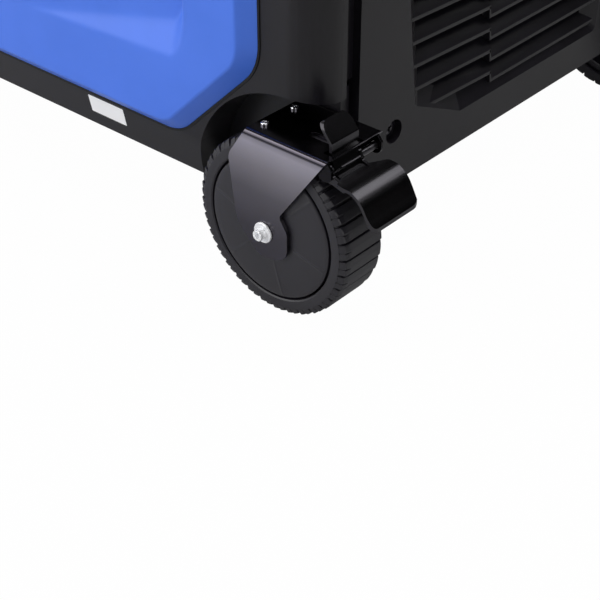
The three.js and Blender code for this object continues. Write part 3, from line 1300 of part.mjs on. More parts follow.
place('handle_grip', handleGrip(), 'foam', 'rubber');
placePair('handle_bracket', handleBracket(), 'steelBlack', 'gloss');

// The origin is on the floor, under the middle of the whole machine
group.position.x = -new THREE.Box3().setFromObject(group).getCenter(new THREE.Vector3()).x;

export default group;
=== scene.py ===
from contextlib import contextmanager
from math import atan2, copysign, cos, exp, hypot, pi, radians, sin, tan

import bmesh
import bpy
from mathutils import Matrix, Vector, geometry


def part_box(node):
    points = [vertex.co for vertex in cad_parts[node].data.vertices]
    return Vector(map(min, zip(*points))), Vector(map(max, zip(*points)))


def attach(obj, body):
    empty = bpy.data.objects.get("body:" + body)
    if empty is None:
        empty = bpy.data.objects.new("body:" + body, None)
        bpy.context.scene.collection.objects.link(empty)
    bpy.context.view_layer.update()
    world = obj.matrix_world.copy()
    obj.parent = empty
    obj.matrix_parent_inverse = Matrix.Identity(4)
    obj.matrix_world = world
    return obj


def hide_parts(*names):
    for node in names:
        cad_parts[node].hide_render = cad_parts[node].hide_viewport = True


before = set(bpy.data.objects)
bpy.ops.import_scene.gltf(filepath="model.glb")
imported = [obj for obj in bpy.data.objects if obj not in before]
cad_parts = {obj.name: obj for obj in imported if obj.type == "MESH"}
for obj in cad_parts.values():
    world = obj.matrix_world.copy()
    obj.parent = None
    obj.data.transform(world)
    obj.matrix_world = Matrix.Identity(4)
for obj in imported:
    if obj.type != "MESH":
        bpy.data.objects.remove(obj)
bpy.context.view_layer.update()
print("stage: frame loaded")

# Everything is drawn in millimetres from the middle of the body; the left hub says where that lies
wheel = {"x": 324, "z": 75}
hubLow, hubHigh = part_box("wheel_hub_left")
originX = (hubLow[0] + hubHigh[0]) / 2 - wheel["x"] / 1000
toFrame = Matrix.Translation((originX, 0, 0)) @ Matrix.Diagonal((0.001, 0.001, 0.001, 1))


def newObject(name, data):
    obj = bpy.data.objects.new(name, data)
    bpy.context.scene.collection.objects.link(obj)
    return obj


# ---- camera ----
photoView = {"place": (906.7, -907.9, 622.9), "turn": 41.24, "down": 35.65, "lens": 79.9}

cameraData = bpy.data.cameras.new("photoCamera")
cameraData.lens = photoView["lens"]
cameraData.sensor_width = 36
cameraData.clip_start = 0.02
camera = newObject("photoCamera", cameraData)
camera.location = toFrame @ Vector(photoView["place"])
camera.rotation_euler = (radians(90 - photoView["down"]), 0, radians(photoView["turn"]))
bpy.context.scene.camera = camera
bpy.context.scene.view_settings.view_transform = "Standard"


# ---- materials ----
def linear(hexColour):
    parts = [int(hexColour[i:i + 2], 16) / 255 for i in (1, 3, 5)]
    return tuple(c / 12.92 if c <= 0.04045 else ((c + 0.055) / 1.055) ** 2.4 for c in parts) + (1.0,)


# A kind that isn't named in full is a shader node
def addNode(tree, kind, values=None, links=None, **props):
    node = tree.nodes.new(kind if "Node" in kind else "ShaderNode" + kind)
    for key, value in props.items():
        setattr(node, key, value)
    for key, value in (values or {}).items():
        node.inputs[key].default_value = value
    for key, (source, socket) in (links or {}).items():
        tree.links.new(source.outputs[socket], node.inputs[key])
    return node


# Empties the owner's node tree
def freshTree(owner):
    owner.use_nodes = True
    owner.node_tree.nodes.clear()
    return owner.node_tree


# A ramp of tones by height, from (height in mm, tone)
def heightRamp(tree, coords, tones):
    axes = addNode(tree, "SeparateXYZ", links={"Vector": (coords, "Object")})
    low, high = tones[0][0], tones[-1][0]
    level = addNode(tree, "MapRange", {"From Min": low / 1000, "From Max": high / 1000}, {"Value": (axes, "Z")})
    ramp = addNode(tree, "ValToRGB", links={"Fac": (level, "Result")})
    stops = ramp.color_ramp.elements
    for at, hexTone in tones[1:-1]:
        stops.new((at - low) / (high - low)).color = linear(hexTone)
    stops[0].color, stops[-1].color = linear(tones[0][1]), linear(tones[-1][1])
    return ramp


# A finish with slow patches in its colour and gloss, and a fine grain in its relief
def makeFinish(name, light, dark, rough, spread, grainMm, relief, depthMm, patchMm=70, metallic=0,
               specular=0.5, paintedLightTones=None):
    material = bpy.data.materials.new(name)
    tree = freshTree(material)
    coords = addNode(tree, "TexCoord")
    patch, grain = (addNode(tree, "TexNoise", {"Scale": 1000 / sizeMm, "Detail": detail},
                            {"Vector": (coords, "Object")}) for sizeMm, detail in ((patchMm, 4), (grainMm, 2)))
    share = addNode(tree, "MapRange", {"From Min": 0.35, "From Max": 0.65}, {"Value": (patch, "Fac")})
    tone = addNode(tree, "Mix", {"A": linear(dark), "B": linear(light)}, {"Factor": (share, "Result")},
                   data_type="RGBA")
    # Tones by height multiply the colour: painted reflection and shade
    if paintedLightTones:
        ramp = heightRamp(tree, coords, paintedLightTones)
        tone = addNode(tree, "Mix", {"Factor": 1}, {"A": (tone, "Result"), "B": (ramp, "Color")},
                       data_type="RGBA", blend_type="MULTIPLY")
    gloss = addNode(tree, "MapRange", {"From Min": 0.3, "From Max": 0.7, "To Min": rough - spread,
                                       "To Max": rough + spread}, {"Value": (patch, "Fac")})
    bump = addNode(tree, "Bump", {"Strength": relief, "Distance": depthMm / 1000}, {"Height": (grain, "Fac")})
    shader = addNode(tree, "BsdfPrincipled", {"Metallic": metallic, "Specular IOR Level": specular}, {
        "Base Color": (tone, "Result"), "Roughness": (gloss, "Result"), "Normal": (bump, "Normal")})
    addNode(tree, "OutputMaterial", links={"Surface": (shader, "BSDF")})
    return material


# Each has its name, light and dark tone, roughness and its spread, grain in mm, relief and its depth in mm,
# and where they differ the size of its patches in mm, metal share and specular level
finishes = {
    # Spark-eroded black ABS: the fine grain spreads its highlights into a satin sheen
    "shell": makeFinish("mouldedBlackAbs", "#131117", "#0f0d12", 0.36, 0.03, 1.1, 0.12, 0.03, specular=0.34),
    # The same moulding darkened as painted shade for recesses and gaps: duller, so that they read as depth
    "shellPaintedShade": makeFinish("mouldedBlackAbsPaintedShade", "#0b0b0c", "#09090a", 0.55, 0.03, 1.1, 0.12, 0.03,
                              specular=0.3),
    # The same ABS pigmented blue: an even, saturated face with a soft highlight on its bevel
    "panel": makeFinish("mouldedBlueAbs", "#4C79E6", "#4875E0", 0.36, 0.03, 1.3, 0.08, 0.02, specular=0.28),
    # Tread rubber with carbon black: matt, and slightly grey where the lugs turn to the light
    "tyre": makeFinish("treadRubber", "#1d1b22", "#18161d", 0.46, 0.06, 0.9, 0.25, 0.04),
    # Moulded rubber of the feet and the outlet cover: black with hardly a highlight
    "rubber": makeFinish("mouldedRubber", "#19191b", "#141416", 0.6, 0.05, 1.2, 0.2, 0.04),
    # Glass-filled nylon: smoother than the tread round it, so the hub stands off from the tyre
    "hub": makeFinish("mouldedNylonBlack", "#1d1b22", "#19171e", 0.36, 0.04, 1.0, 0.1, 0.02),
    # Black zinc plate: a dark mirror, grey where the floor lies in it and black under a dark ceiling
    "steel": makeFinish("blackZincPlate", "#8a878e", "#7c7980", 0.17, 0.02, 2.2, 0.05, 0.02, metallic=1),
    # Black zinc on the fork's sheet with painted reflection and shade by height: pale below the bend, dark in
    # the fold and darker down to the toe
    "forkSteelPaintedLight": makeFinish("blackZincSheetPaintedLight", "#f6f4f6", "#e8e6e8", 0.17, 0.02, 2.2, 0.05, 0.02, metallic=1,
                            paintedLightTones=[(50, "#504e54"), (75, "#545258"), (108, "#6f6d72"), (130, "#979499"),
                                         (148, "#bab7bf"), (152.2, "#a3a0a8"), (153.3, "#424046"),
                                         (155, "#3c3a40"), (156.2, "#6a676e"), (157.3, "#48464c")]),
    # Black zinc on the fork's ears, darkened as painted shade for the shade behind the leg: almost black from
    # every side
    "platePaintedShade": makeFinish("blackZincPaintedShade", "#272629", "#222124", 0.24, 0.03, 2.2, 0.05, 0.02,
                            metallic=1),
    # Black zinc on the pedal: black but for one broad highlight along its bend
    "rockerSteel": makeFinish("blackZincPedal", "#434245", "#3b3a3d", 0.22, 0.02, 2.2, 0.05, 0.02, metallic=1),
    # Bright zinc plate with a dull lacquer: white metal from any side
    "zinc": makeFinish("brightZincPlate", "#fbfbfc", "#f2f3f5", 0.22, 0.03, 1.2, 0.04, 0.01, 12,
                       metallic=0.35),
    # Bare bright zinc on small screws: a dark top with a sharp white glint
    "screwSteel": makeFinish("brightZincScrew", "#e4e4e8", "#dadade", 0.13, 0.02, 1.2, 0.04, 0.01, 12,
                             metallic=1),
    # Cast aluminium: pale, rough and cloudy
    "castAlloy": makeFinish("castAluminium", "#a8abae", "#94989c", 0.45, 0.08, 0.8, 0.4, 0.05, 30, metallic=1),
    # Steel browned by heat, in uneven patches
    "iron": makeFinish("heatedSteel", "#5b5856", "#46413c", 0.48, 0.1, 0.9, 0.3, 0.03, 25, metallic=1),
    # Lacquered copper winding: warm, with a half gloss
    "copper": makeFinish("lacqueredCopper", "#a8603a", "#8a4326", 0.35, 0.06, 0.9, 0.4, 0.05, 20, metallic=1),
    # Blow-moulded polyethylene: waxy and slightly wavy
    "tank": makeFinish("blowMouldedPolyethylene", "#1a1a1b", "#151516", 0.42, 0.05, 3.0, 0.2, 0.05),
    # Grey ABS: matt, so that the black controls stand out on it
    "fascia": makeFinish("mouldedGreyAbs", "#57585d", "#515257", 0.45, 0.03, 0.8, 0.12, 0.02),
    # Black polycarbonate of the outlets: lighter than the shell, with crisp edges
    "outlet": makeFinish("mouldedBlackPolycarbonate", "#242428", "#202023", 0.4, 0.03, 0.8, 0.1, 0.02),
    # Closed-cell foam: finely pitted and without a highlight
    "foam": makeFinish("closedCellFoam", "#1c1c1d", "#161617", 0.8, 0.05, 1.6, 0.6, 0.15),
    # Glossy polycarbonate buttons: a small hard highlight on a strong tone
    "red": makeFinish("glossRedPolycarbonate", "#b4231d", "#ab1f1a", 0.22, 0.03, 1.0, 0.03, 0.01),
    "blackGloss": makeFinish("glossBlackPolycarbonate", "#131314", "#101011", 0.2, 0.03, 1.0, 0.03, 0.01),
    # Smoked window over the display: nearly a mirror, faintly green
    "glass": makeFinish("smokedDisplayWindow", "#16211c", "#121c18", 0.08, 0.02, 3.0, 0.02, 0.01),
    # White vinyl: flat and even
    "label": makeFinish("whiteVinylLabel", "#fcfcfc", "#f8f8f8", 0.45, 0.04, 1.5, 0.04, 0.01),
    # Black oxide on steel: sooty grey, with a dull glint on its edges
    "darkScrew": makeFinish("blackOxideSteel", "#5c5b5f", "#4c4b4f", 0.36, 0.06, 0.7, 0.2, 0.02, 10,
                            metallic=1),
}
print("stage: finishes made")


# ---- drawing in millimetres ----
# Rounds each corner (u, v, radius) of an outline
def roundedRing(corners, steps=8):
    ring = []
    for i, (u, v, radius) in enumerate(corners):
        here = Vector((u, v))
        toLast = (Vector(corners[i - 1][:2]) - here).normalized()
        toNext = (Vector(corners[(i + 1) % len(corners)][:2]) - here).normalized()
        half = toLast.angle(toNext) / 2
        centre = here + (toLast + toNext).normalized() * (radius / sin(half))
        first = here + toLast * (radius / tan(half)) - centre
        last = here + toNext * (radius / tan(half)) - centre
        sweep = atan2(first.x * last.y - first.y * last.x, first.dot(last))
        for k in range(steps + 1):
            turn = sweep * k / steps
            ring.append((centre.x + first.x * cos(turn) - first.y * sin(turn),
                         centre.y + first.x * sin(turn) + first.y * cos(turn)))
    return ring


def insetCorners(corners, distance, leastRadius=0.4):
    moved = []
    for i, (u, v, radius) in enumerate(corners):
        before = (Vector((u, v)) - Vector(corners[i - 1][:2])).normalized()
        after = (Vector(corners[(i + 1) % len(corners)][:2]) - Vector((u, v))).normalized()
        turn = before.x * after.y - before.y * after.x
        slide = (after - before) * (distance / turn)
        moved.append((u + slide.x, v + slide.y, max(radius - distance * copysign(1, turn), leastRadius)))
    return moved


def rectangle(u0, u1, v0, v1, radius):
    return [(u0, v0, radius), (u1, v0, radius), (u1, v1, radius), (u0, v1, radius)]


def circle(u, v, radius, sides=48):
    turns = [2 * pi * i / sides for i in range(sides)]
    return [(u + radius * cos(turn), v + radius * sin(turn)) for turn in turns]


def arcPoints(u, v, radius, fromDeg, toDeg, count):
    turns = [radians(fromDeg + (toDeg - fromDeg) * i / count) for i in range(count + 1)]
    return [(u + radius * cos(turn), v + radius * sin(turn)) for turn in turns]


placeOn = {"X": lambda u, v, w: (w, u, v), "Y": lambda u, v, w: (u, w, v), "Z": lambda u, v, w: (u, v, w)}
# Points closer than this, in mm, are one, and faces flatter to each other than this are merged
weld = {"skin": 0.002, "cut": 0.004, "flatDeg": 0.5}


def addObject(points, faces, name="draft"):
    mesh = bpy.data.meshes.new(name)
    mesh.from_pydata(points, [], faces)
    return newObject(name, mesh)


@contextmanager
def editing(obj):
    work = bmesh.new()
    work.from_mesh(obj.data)
    yield work
    work.to_mesh(obj.data)
    work.free()


def turnOutward(obj):
    with editing(obj) as work:
        bmesh.ops.remove_doubles(work, verts=work.verts, dist=weld["skin"])
        bmesh.ops.recalc_face_normals(work, faces=work.faces)
        if work.calc_volume(signed=True) < 0:
            bmesh.ops.reverse_faces(work, faces=work.faces)
    return obj


# Faces between rows of points; each row closes on itself, and the last row may join the first
def bandFaces(rows, count, closed=False):
    return [(s * count + i, s * count + (i + 1) % count, (s + 1) % rows * count + (i + 1) % count,
             (s + 1) % rows * count + i) for s in range(rows if closed else rows - 1) for i in range(count)]


# A closed body over rings of equal count, capped at its ends unless the rings close
def skinRings(rings, closed=False):
    rows, count = len(rings), len(rings[0])
    faces = bandFaces(rows, count, closed)
    if not closed:
        faces += [tuple(range(count)), tuple(range((rows - 1) * count, rows * count))]
    return turnOutward(addObject([point for ring in rings for point in ring], faces))


def loft(along, sections):
    return skinRings([[placeOn[along](u, v, at) for u, v in ring] for ring, at in sections])


def prism(along, ring, start, end):
    return loft(along, [(ring, start), (ring, end)])


def block(x0, x1, y0, y1, z0, z1):
    return prism("Z", [(x0, y0), (x1, y0), (x1, y1), (x0, y1)], z0, z1)


def rod(along, u, v, radius, start, end, sides=48):
    return prism(along, circle(u, v, radius, sides), start, end)


# Turns a run of (radius, place) about an axis
def lathe(along, u, v, profile, sides=64, closed=False):
    rings = [[placeOn[along](a, b, at) for a, b in circle(u, v, radius, sides)] for radius, at in profile]
    return skinRings(rings, closed)


# Rounds the bends of an open run of points
def rounded(points, radius, steps=4):
    run = [points[0]]
    for i in range(1, len(points) - 1):
        here = Vector(points[i])
        before, after = Vector(points[i - 1]) - here, Vector(points[i + 1]) - here
        half = before.angle(after) / 2
        reach = min(radius / tan(half), before.length * 0.45, after.length * 0.45)
        a, b = here + before.normalized() * reach, here + after.normalized() * reach
        for k in range(steps + 1):
            t = k / steps
            run.append(tuple(a * (1 - t) ** 2 + here * 2 * t * (1 - t) + b * t * t))
    return run + [points[-1]]


# The outline of a bent sheet, from its run and its thickness
def ribbon(points, thickness):
    offset = []
    for i, (u, v) in enumerate(points):
        before, after = points[max(i - 1, 0)], points[min(i + 1, len(points) - 1)]
        along = Vector((after[0] - before[0], after[1] - before[1])).normalized()
        offset.append((u - along.y * thickness, v + along.x * thickness))
    return list(points) + offset[::-1]


def plain(obj):
    bpy.context.view_layer.update()
    graph = bpy.context.evaluated_depsgraph_get()
    mesh = bpy.data.meshes.new_from_object(obj.evaluated_get(graph), depsgraph=graph)
    obj.modifiers.clear()
    obj.data = mesh
    return obj


def modify(obj, kind, **values):
    step = obj.modifiers.new("step", kind)
    for key, value in values.items():
        setattr(step, key, value)
    return step


def combine(target, how, *tools):
    for tool in tools:
        modify(target, "BOOLEAN", operation=how, solver="EXACT", object=tool)
    plain(target)
    for tool in tools:
        bpy.data.objects.remove(tool, do_unlink=True)
    return target


def cut(target, *tools):
    return combine(target, "DIFFERENCE", *tools)


def fuse(target, *tools):
    return combine(target, "UNION", *tools)


def common(target, *tools):
    return combine(target, "INTERSECT", *tools)


def gather(target, *others):
    with editing(target) as work:
        for obj in others:
            work.from_mesh(obj.data)
            bpy.data.objects.remove(obj, do_unlink=True)
    return target


def copyOf(obj):
    return newObject("copy", obj.data.copy())


def shift(obj, x, y, z):
    obj.data.transform(Matrix.Translation((x, y, z)))
    return obj


def rotate(obj, angle, axis):
    obj.data.transform(Matrix.Rotation(angle, 4, axis))
    return obj


def faceControls(obj):
    obj.data.transform(Matrix.Diagonal((-1, -1, 1, 1)))
    return obj


# Eases sharp edges, as a mould or a deburred sheet leaves them
def soften(obj, width, segments=2, angle=35):
    with editing(obj) as work:
        bmesh.ops.remove_doubles(work, verts=work.verts, dist=weld["cut"])
        flat = radians(weld["flatDeg"])
        bmesh.ops.dissolve_limit(work, angle_limit=flat, verts=work.verts, edges=work.edges)
    modify(obj, "BEVEL", width=width, segments=segments, limit_method="ANGLE", angle_limit=radians(angle),
           use_clamp_overlap=True, miter_outer="MITER_ARC")
    return plain(obj)


def shade(obj, angle=40, weighted=True):
    obj.data.shade_smooth()
    obj.data.set_sharp_from_angle(angle=radians(angle))
    if weighted:
        modify(obj, "WEIGHTED_NORMAL", keep_sharp=True, weight=80)
        plain(obj)
    return obj


# ---- repeats: one tree for lines and circles ----
def makeRepeatTree():
    tree = bpy.data.node_groups.new("repeatPiece", "GeometryNodeTree")
    sockets = {}
    for label, kind in (("Piece", "Geometry"), ("Count", "Int"), ("Step", "Vector"), ("Turn", "Vector"),
                        ("Finish", "Material")):
        socket = tree.interface.new_socket(name=label, in_out="INPUT", socket_type="NodeSocket" + kind)
        sockets[label] = socket.identifier
    tree.interface.new_socket(name="Result", in_out="OUTPUT", socket_type="NodeSocketGeometry")
    start = addNode(tree, "NodeGroupInput")
    line = addNode(tree, "GeometryNodeMeshLine", links={"Count": (start, "Count"), "Offset": (start, "Step")},
                   mode="OFFSET")
    index = addNode(tree, "GeometryNodeInputIndex")
    turn = addNode(tree, "VectorMath", links={"Vector": (start, "Turn"), "Scale": (index, "Index")},
                   operation="SCALE")
    euler = addNode(tree, "FunctionNodeEulerToRotation", links={"Euler": (turn, "Vector")})
    spread = addNode(tree, "GeometryNodeInstanceOnPoints", links={
        "Points": (line, "Mesh"), "Instance": (start, "Piece"), "Rotation": (euler, "Rotation")})
    real = addNode(tree, "GeometryNodeRealizeInstances", links={"Geometry": (spread, "Instances")})
    dressed = addNode(tree, "GeometryNodeSetMaterial", links={
        "Geometry": (real, "Geometry"), "Material": (start, "Finish")})
    addNode(tree, "NodeGroupOutput", links={"Result": (dressed, "Geometry")})
    return tree, sockets


repeatTree, repeatSockets = makeRepeatTree()


def repeat(obj, count, step=(0, 0, 0), turn=(0, 0, 0), finish="shell", move=(0, 0, 0)):
    modifier = modify(obj, "NODES", node_group=repeatTree)
    for label, value in (("Count", count), ("Step", step), ("Turn", turn), ("Finish", finishes[finish])):
        modifier[repeatSockets[label]] = value
    return shift(plain(obj), *move)


# Puts a finished piece in the frame, on its body, in place of its CAD nodes
def place(obj, name, finish, body, slot, *stands):
    obj.name = name
    obj.data.name = name
    obj.data.materials.clear()
    obj.data.materials.append(finishes[finish])
    for polygon in obj.data.polygons:
        polygon.material_index = 0
    obj.data.transform(toFrame)
    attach(obj, body)
    if stands:
        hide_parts(*stands)
    return obj


# The piece as drawn is the left one; its mirror image is the right one
def placePair(obj, name, finish, body, slot, node=None):
    other = copyOf(obj)
    other.data.transform(Matrix.Diagonal((1, -1, 1, 1)))
    other.data.flip_normals()
    for piece, side in ((obj, "left"), (other, "right")):
        rides = body if body == "frame" else f"{body}_{side}"
        stands = (f"{node}_{side}",) if node else ()
        place(piece, name + side.capitalize(), finish, rides, slot, *stands)


# ---- housing: side mouldings, top and the wheel wells ----
# Cutting shapes end at these places, clear of the body
clear = {"x": 400, "y": 300, "floor": 40, "roof": 620}
housing = {
    "halfLength": 350, "halfWidth": 255, "bottom": 72, "skirtTop": 107, "skirtInset": 7, "skirtBend": 8,
    "shoulder": 528, "top": 585, "shoulderInset": 38, "corner": 30, "wall": 3, "seam": 221, "gap": 0.3,
    "drop": 6, "bendSteps": 4, "cornerSteps": 12, "rollSteps": 12, "capX": -120, "capHole": 30.4
}
well = {"radius": 100, "wall": 3, "plane": 219, "back": 209.5, "outer": 261, "end": 343, "boltHole": 4.4}


# The body's skin; with a wall, the hollow inside it, which runs out at the bottom
def hull(wall):
    h = housing
    halfX, halfY, corner = (h[key] - wall for key in ("halfLength", "halfWidth", "corner"))

    def ring(inX, inY):
        x, y = halfX - inX, halfY - inY
        return roundedRing(rectangle(-x, x, -y, y, corner), h["cornerSteps"])

    drop = h["drop"] if wall else 0
    slope = h["skirtInset"] / (h["skirtTop"] - h["bottom"])
    sections = [(ring(0, h["skirtInset"] + slope * drop), h["bottom"] - drop)]
    # A small radius where the skirt turns into the upright wall
    for k in range(h["bendSteps"] + 1):
        t = k / h["bendSteps"]
        z = h["skirtTop"] - h["skirtBend"] * (1 - t) ** 2 + h["skirtBend"] * t * t
        sections.append((ring(0, slope * h["skirtBend"] * (1 - t) ** 2), z))
    rise = h["top"] - h["shoulder"] - wall
    for i in range(h["rollSteps"] + 1):
        turn = i / h["rollSteps"] * pi / 2
        roll = h["shoulderInset"] * (1 - cos(turn))
        sections.append((ring(roll, roll), h["shoulder"] + rise * sin(turn)))
    return loft("Z", sections)


def makeHousing():
    h, w = housing, well
    axis = wheel["x"], wheel["z"]
    skin = cut(hull(0), hull(h["wall"]))
    side = common(copyOf(skin), block(-clear["x"], clear["x"], -clear["y"], -h["seam"], clear["floor"],
                                      clear["roof"]))
    lining = common(hull(0), rod("Y", *axis, w["radius"] + w["wall"], -w["outer"], -w["back"], 96),
                    block(-clear["x"], w["end"], -clear["y"], clear["y"], h["bottom"], clear["roof"]))
    cut(fuse(side, lining), rod("Y", *axis, w["radius"], -w["outer"] - 1, -w["plane"], 96),
        rod("Y", *axis, w["boltHole"], -w["outer"] - 1, 0, 24))
    placePair(shade(soften(side, 1.1, 2, 48), 35), "sideMoulding", "shell", "frame", "shell", "side_frame")
    seam = h["seam"] - h["gap"]
    top = common(skin, block(-clear["x"], clear["x"], -seam, seam, h["shoulder"], clear["roof"]))
    cut(top, rod("Z", h["capX"], 0, h["capHole"], 500, clear["roof"], 64))
    place(shade(soften(top, 0.9, 2, 48), 35), "topMoulding", "shell", "frame", "shell", "top_cover")


makeHousing()
print("stage: housing made")

# ---- blue side panels: a bevelled cover with a scooped pocket ----
# The bevel is (distance from the edge, height over the base)
cover = {
    "base": 255.3, "proud": 12.2, "ease": 4.4, "turnAt": 11.9, "flatFrom": 19, "cornerSteps": 9,
    "corners": [(-294, 155.3, 24), (-246, 107.3, 24), (207, 107.1, 38), (294, 190.5, 44), (294, 452, 36),
        (246, 500, 24), (-246, 500, 24), (-294, 452, 24)],
    "bevel": [(0, 0), (0.25, 0.5), (0.9, 1.15), (2, 2.3), (5, 5.3), (8.6, 8.9)], "gridX": (-290, 290, 7),
    "gridZ": (110, 498, 7), "gridEdge": 3
}
# A thin black ring, a painted shadow for the gap round the cover
shadowRing = {"width": 2, "proud": 0.5, "foot": 254.6, "gap": 0.06}
pocket = {
    "start": 47, "deepest": 213, "depth": 10, "slope": 0.37, "end": 229.5, "endSteeper": (2, 4.6),
    "ease": 1.1, "corners": [(30, 171.5, 12), (229.5, 180, 42), (229.5, 424, 42), (30, 424, 12)],
    "box": (24, 245, 160, 440), "walls": (180, 424), "cornerRun": (22, 42), "band": (-6, 36), "spacing": 4.5,
    "contours": (-4, -2.6, -1.5, -0.6, 0.4, 1.4, 2.6, 4, 6.5, 9.5, 13, 16.5, 20, 23.5, 26, 28, 30, 32, 34)
}


def smoothMin(a, b, k):
    h = max(k - abs(a - b), 0) / k
    return min(a, b) - h * h * k / 4


def resample(ring, spacing):
    points = []
    for i, (u, v) in enumerate(ring):
        nextU, nextV = ring[(i + 1) % len(ring)]
        steps = max(1, round(hypot(nextU - u, nextV - v) / spacing))
        points += [(u + (nextU - u) * k / steps, v + (nextV - v) * k / steps) for k in range(steps)]
    return points


# Gives a function of the distance to an outline, negative outside it
def insideDistance(corners):
    ring = roundedRing(corners, 10)
    edges = [(Vector(ring[i]), Vector(ring[(i + 1) % len(ring)])) for i in range(len(ring))]

    def toEdge(p, a, b):
        if 0 <= (p - a).dot(b - a) <= (b - a).length_squared:
            return (p - geometry.intersect_point_line(p, a, b)[0]).length
        return min((p - a).length, (p - b).length)

    def measure(u, v):
        p = Vector((u, v))
        nearest = min(toEdge(p, a, b) for a, b in edges)
        crossings = sum((a.y > v) != (b.y > v) and u < (b.x - a.x) * (v - a.y) / (b.y - a.y) + a.x
                        for a, b in edges)
        return nearest if crossings % 2 else -nearest
    return measure


# The pocket's end wall is steeper than the others, so x is stretched before distances are taken
def pocketOutline():
    end, steeper = pocket["end"], pocket["endSteeper"][0]
    return [((x - end) * steeper, z, radius) for x, z, radius in pocket["corners"]]


pocketInside = insideDistance(pocketOutline())


# The end wall is gentler in its two corners, where the scoop runs out wide
def pocketDistance(x, z):
    (low, high), (start, run) = pocket["walls"], pocket["cornerRun"]
    steeper, steepest = pocket["endSteeper"]
    share = min(max((min(z - low, high - z) - start) / run, 0), 1)
    share = share * share * (3 - 2 * share)
    return pocketInside((x - pocket["end"]) * (steeper + (steepest - steeper) * share), z)


def pocketDepth(x, z):
    x0, x1, z0, z1 = pocket["box"]
    if not (x0 < x < x1 and z0 < z < z1):
        return 0
    floor = pocket["depth"] * (x - pocket["start"]) / (pocket["deepest"] - pocket["start"])
    depth = smoothMin(floor, pocketDistance(x, z) * pocket["slope"], pocket["ease"])
    return -smoothMin(-depth, 0, pocket["ease"])


def coverRing(inward):
    return roundedRing(insetCorners(cover["corners"], inward), cover["cornerSteps"])


def makeSidePanels():
    c = cover
    eased = rounded([c["bevel"][-1], (c["turnAt"], c["proud"]), (c["flatFrom"], c["proud"])], c["ease"], 6)[1:]
    rings = [(coverRing(d), h) for d, h in c["bevel"] + eased]
    count = len(rings[0][0])
    points = [(u, -(c["base"] + h), v) for ring, h in rings for u, v in ring]
    faces = bandFaces(len(rings), count) + [tuple(range(count))]
    # The flat and the pocket: points on the rim, on contours of the pocket and on a grid, joined by triangles
    inside = insideDistance(insetCorners(c["corners"], c["flatFrom"]))
    flat = list(rings[-1][0])
    for d in pocket["contours"]:
        contour = resample(roundedRing(insetCorners(pocketOutline(), d), 12), pocket["spacing"])
        flat += [(u / pocket["endSteeper"][0] + pocket["end"], v) for u, v in contour]
    near, far = pocket["band"]
    flat += [(x, z) for x in range(*c["gridX"]) for z in range(*c["gridZ"])
             if inside(x, z) > c["gridEdge"] and not near < pocketDistance(x, z) < far]
    edges = [(i, (i + 1) % count) for i in range(count)]
    found = geometry.delaunay_2d_cdt([Vector(p) for p in flat], edges, [], 0, 0.01)
    start = len(points)
    points += [(p.x, -(c["base"] + c["proud"] - pocketDepth(p.x, p.y)), p.y) for p in found[0]]
    for face in found[2]:
        middle = sum((found[0][i] for i in face), Vector((0, 0))) / len(face)
        if inside(middle.x, middle.y) > -0.05:
            faces.append(tuple(start + i for i in face))
    panel = shade(turnOutward(addObject(points, faces)), 50, False)
    placePair(panel, "sidePanel", "panel", "frame", "panel", "side_panel")
    # A black ring round the cover is a painted shadow: it stands for the dark gap and shows as a thin line
    # round the cover
    g = shadowRing
    shadowBand = prism("Y", coverRing(-g["width"]), -(c["base"] + g["proud"]), -g["foot"])
    cut(shadowBand, prism("Y", coverRing(-g["gap"]), -260, -250))
    placePair(shade(shadowBand, 30), "panelShadowRing", "shellPaintedShade", "frame", "rubber")


makeSidePanels()
print("stage: side panels made")

# ---- end panels: stepped louvres behind a sloping mouth ----
grille = {
    "mouth": [(-70, 102.6, 6), (145, 102.6, 6), (145, 440, 6), (72, 476, 6), (-145, 476, 6), (-151, 250, 20),
        (-134.2, 132, 6)],
    "divider": [(-21.6, 104), (-54.4, 330), (-54.4, 480)], "ribTop": 474, "bottom": 102.6, "top": 476,
    "firstLip": 111.1, "shortTop": 330, "rise": 0.035, "screws": (160.8, 119.9), "clear": (200, 60, 480),
    "longSlats": (-200, 0), "shortSlats": (-80, 200), "plate": (344, 347, 300, 480)
}
exhaust = {"y": 62, "z": 400, "collar": 32, "hole": 26.4}
intake = {
    "halfWidth": 145, "bottom": 104.3, "top": 236, "chamferRun": 40, "chamferRise": 24, "corner": 6,
    "firstLip": 109.5, "slats": (-200, 200), "ribFront": 344.6
}
window = {"half": 152, "bottom": 262, "top": 500, "corner": 14, "rim": 3, "back": 336, "front": 348.5}
louvre = {
    "pitch": 20.4, "lip": 3.4, "set": 2, "reach": 13, "mouth": 10, "run": 16.6, "step": 7, "jog": 2.2,
    "jogDepth": (341.2, 348), "ribHalf": 1.5, "ribDepth": (334.6, 336), "backHalf": 128, "backInset": 17,
    "backDepth": (331.6, 334.6), "rim": 0.03, "wall": 2.5, "throat": 26, "clip": (1.2, 15.4)
}
panelEdge = {"face": 350, "half": 206, "flange": 343, "flangeFoot": 181, "lap": 6, "seam": 221, "top": 527.7,
             "wall": 3}
counterbore = {"wall": 13, "radius": 10, "back": 340, "floor": 343, "rim": 348.5}


def mouthCorners(g):
    w, b, t, c = g["halfWidth"], g["bottom"], g["top"], g["corner"]
    return [(-w + g["chamferRun"], b, c), (w, b, c), (w, t - g["chamferRise"], c), (w - g["chamferRun"], t, c),
            (-w, t, c), (-w, b + g["chamferRise"], c)]


def dish(corners, grown, depth, past=0):
    l, face = louvre, panelEdge["face"]
    mouth = roundedRing(insetCorners(corners, -grown), 6)
    throat = roundedRing(insetCorners(corners, l["run"] - grown), 6)
    return loft("X", [(mouth, face + past), (mouth, face - l["rim"]), (throat, face - l["mouth"]),
                      (throat, face - depth)])


# What lies within the mouth, set just into its slope
def withinMouth(obj, corners):
    return common(obj, dish(corners, *louvre["clip"]))


def lipCount(first, top):
    return int((top - first - louvre["lip"]) / louvre["pitch"]) + 1


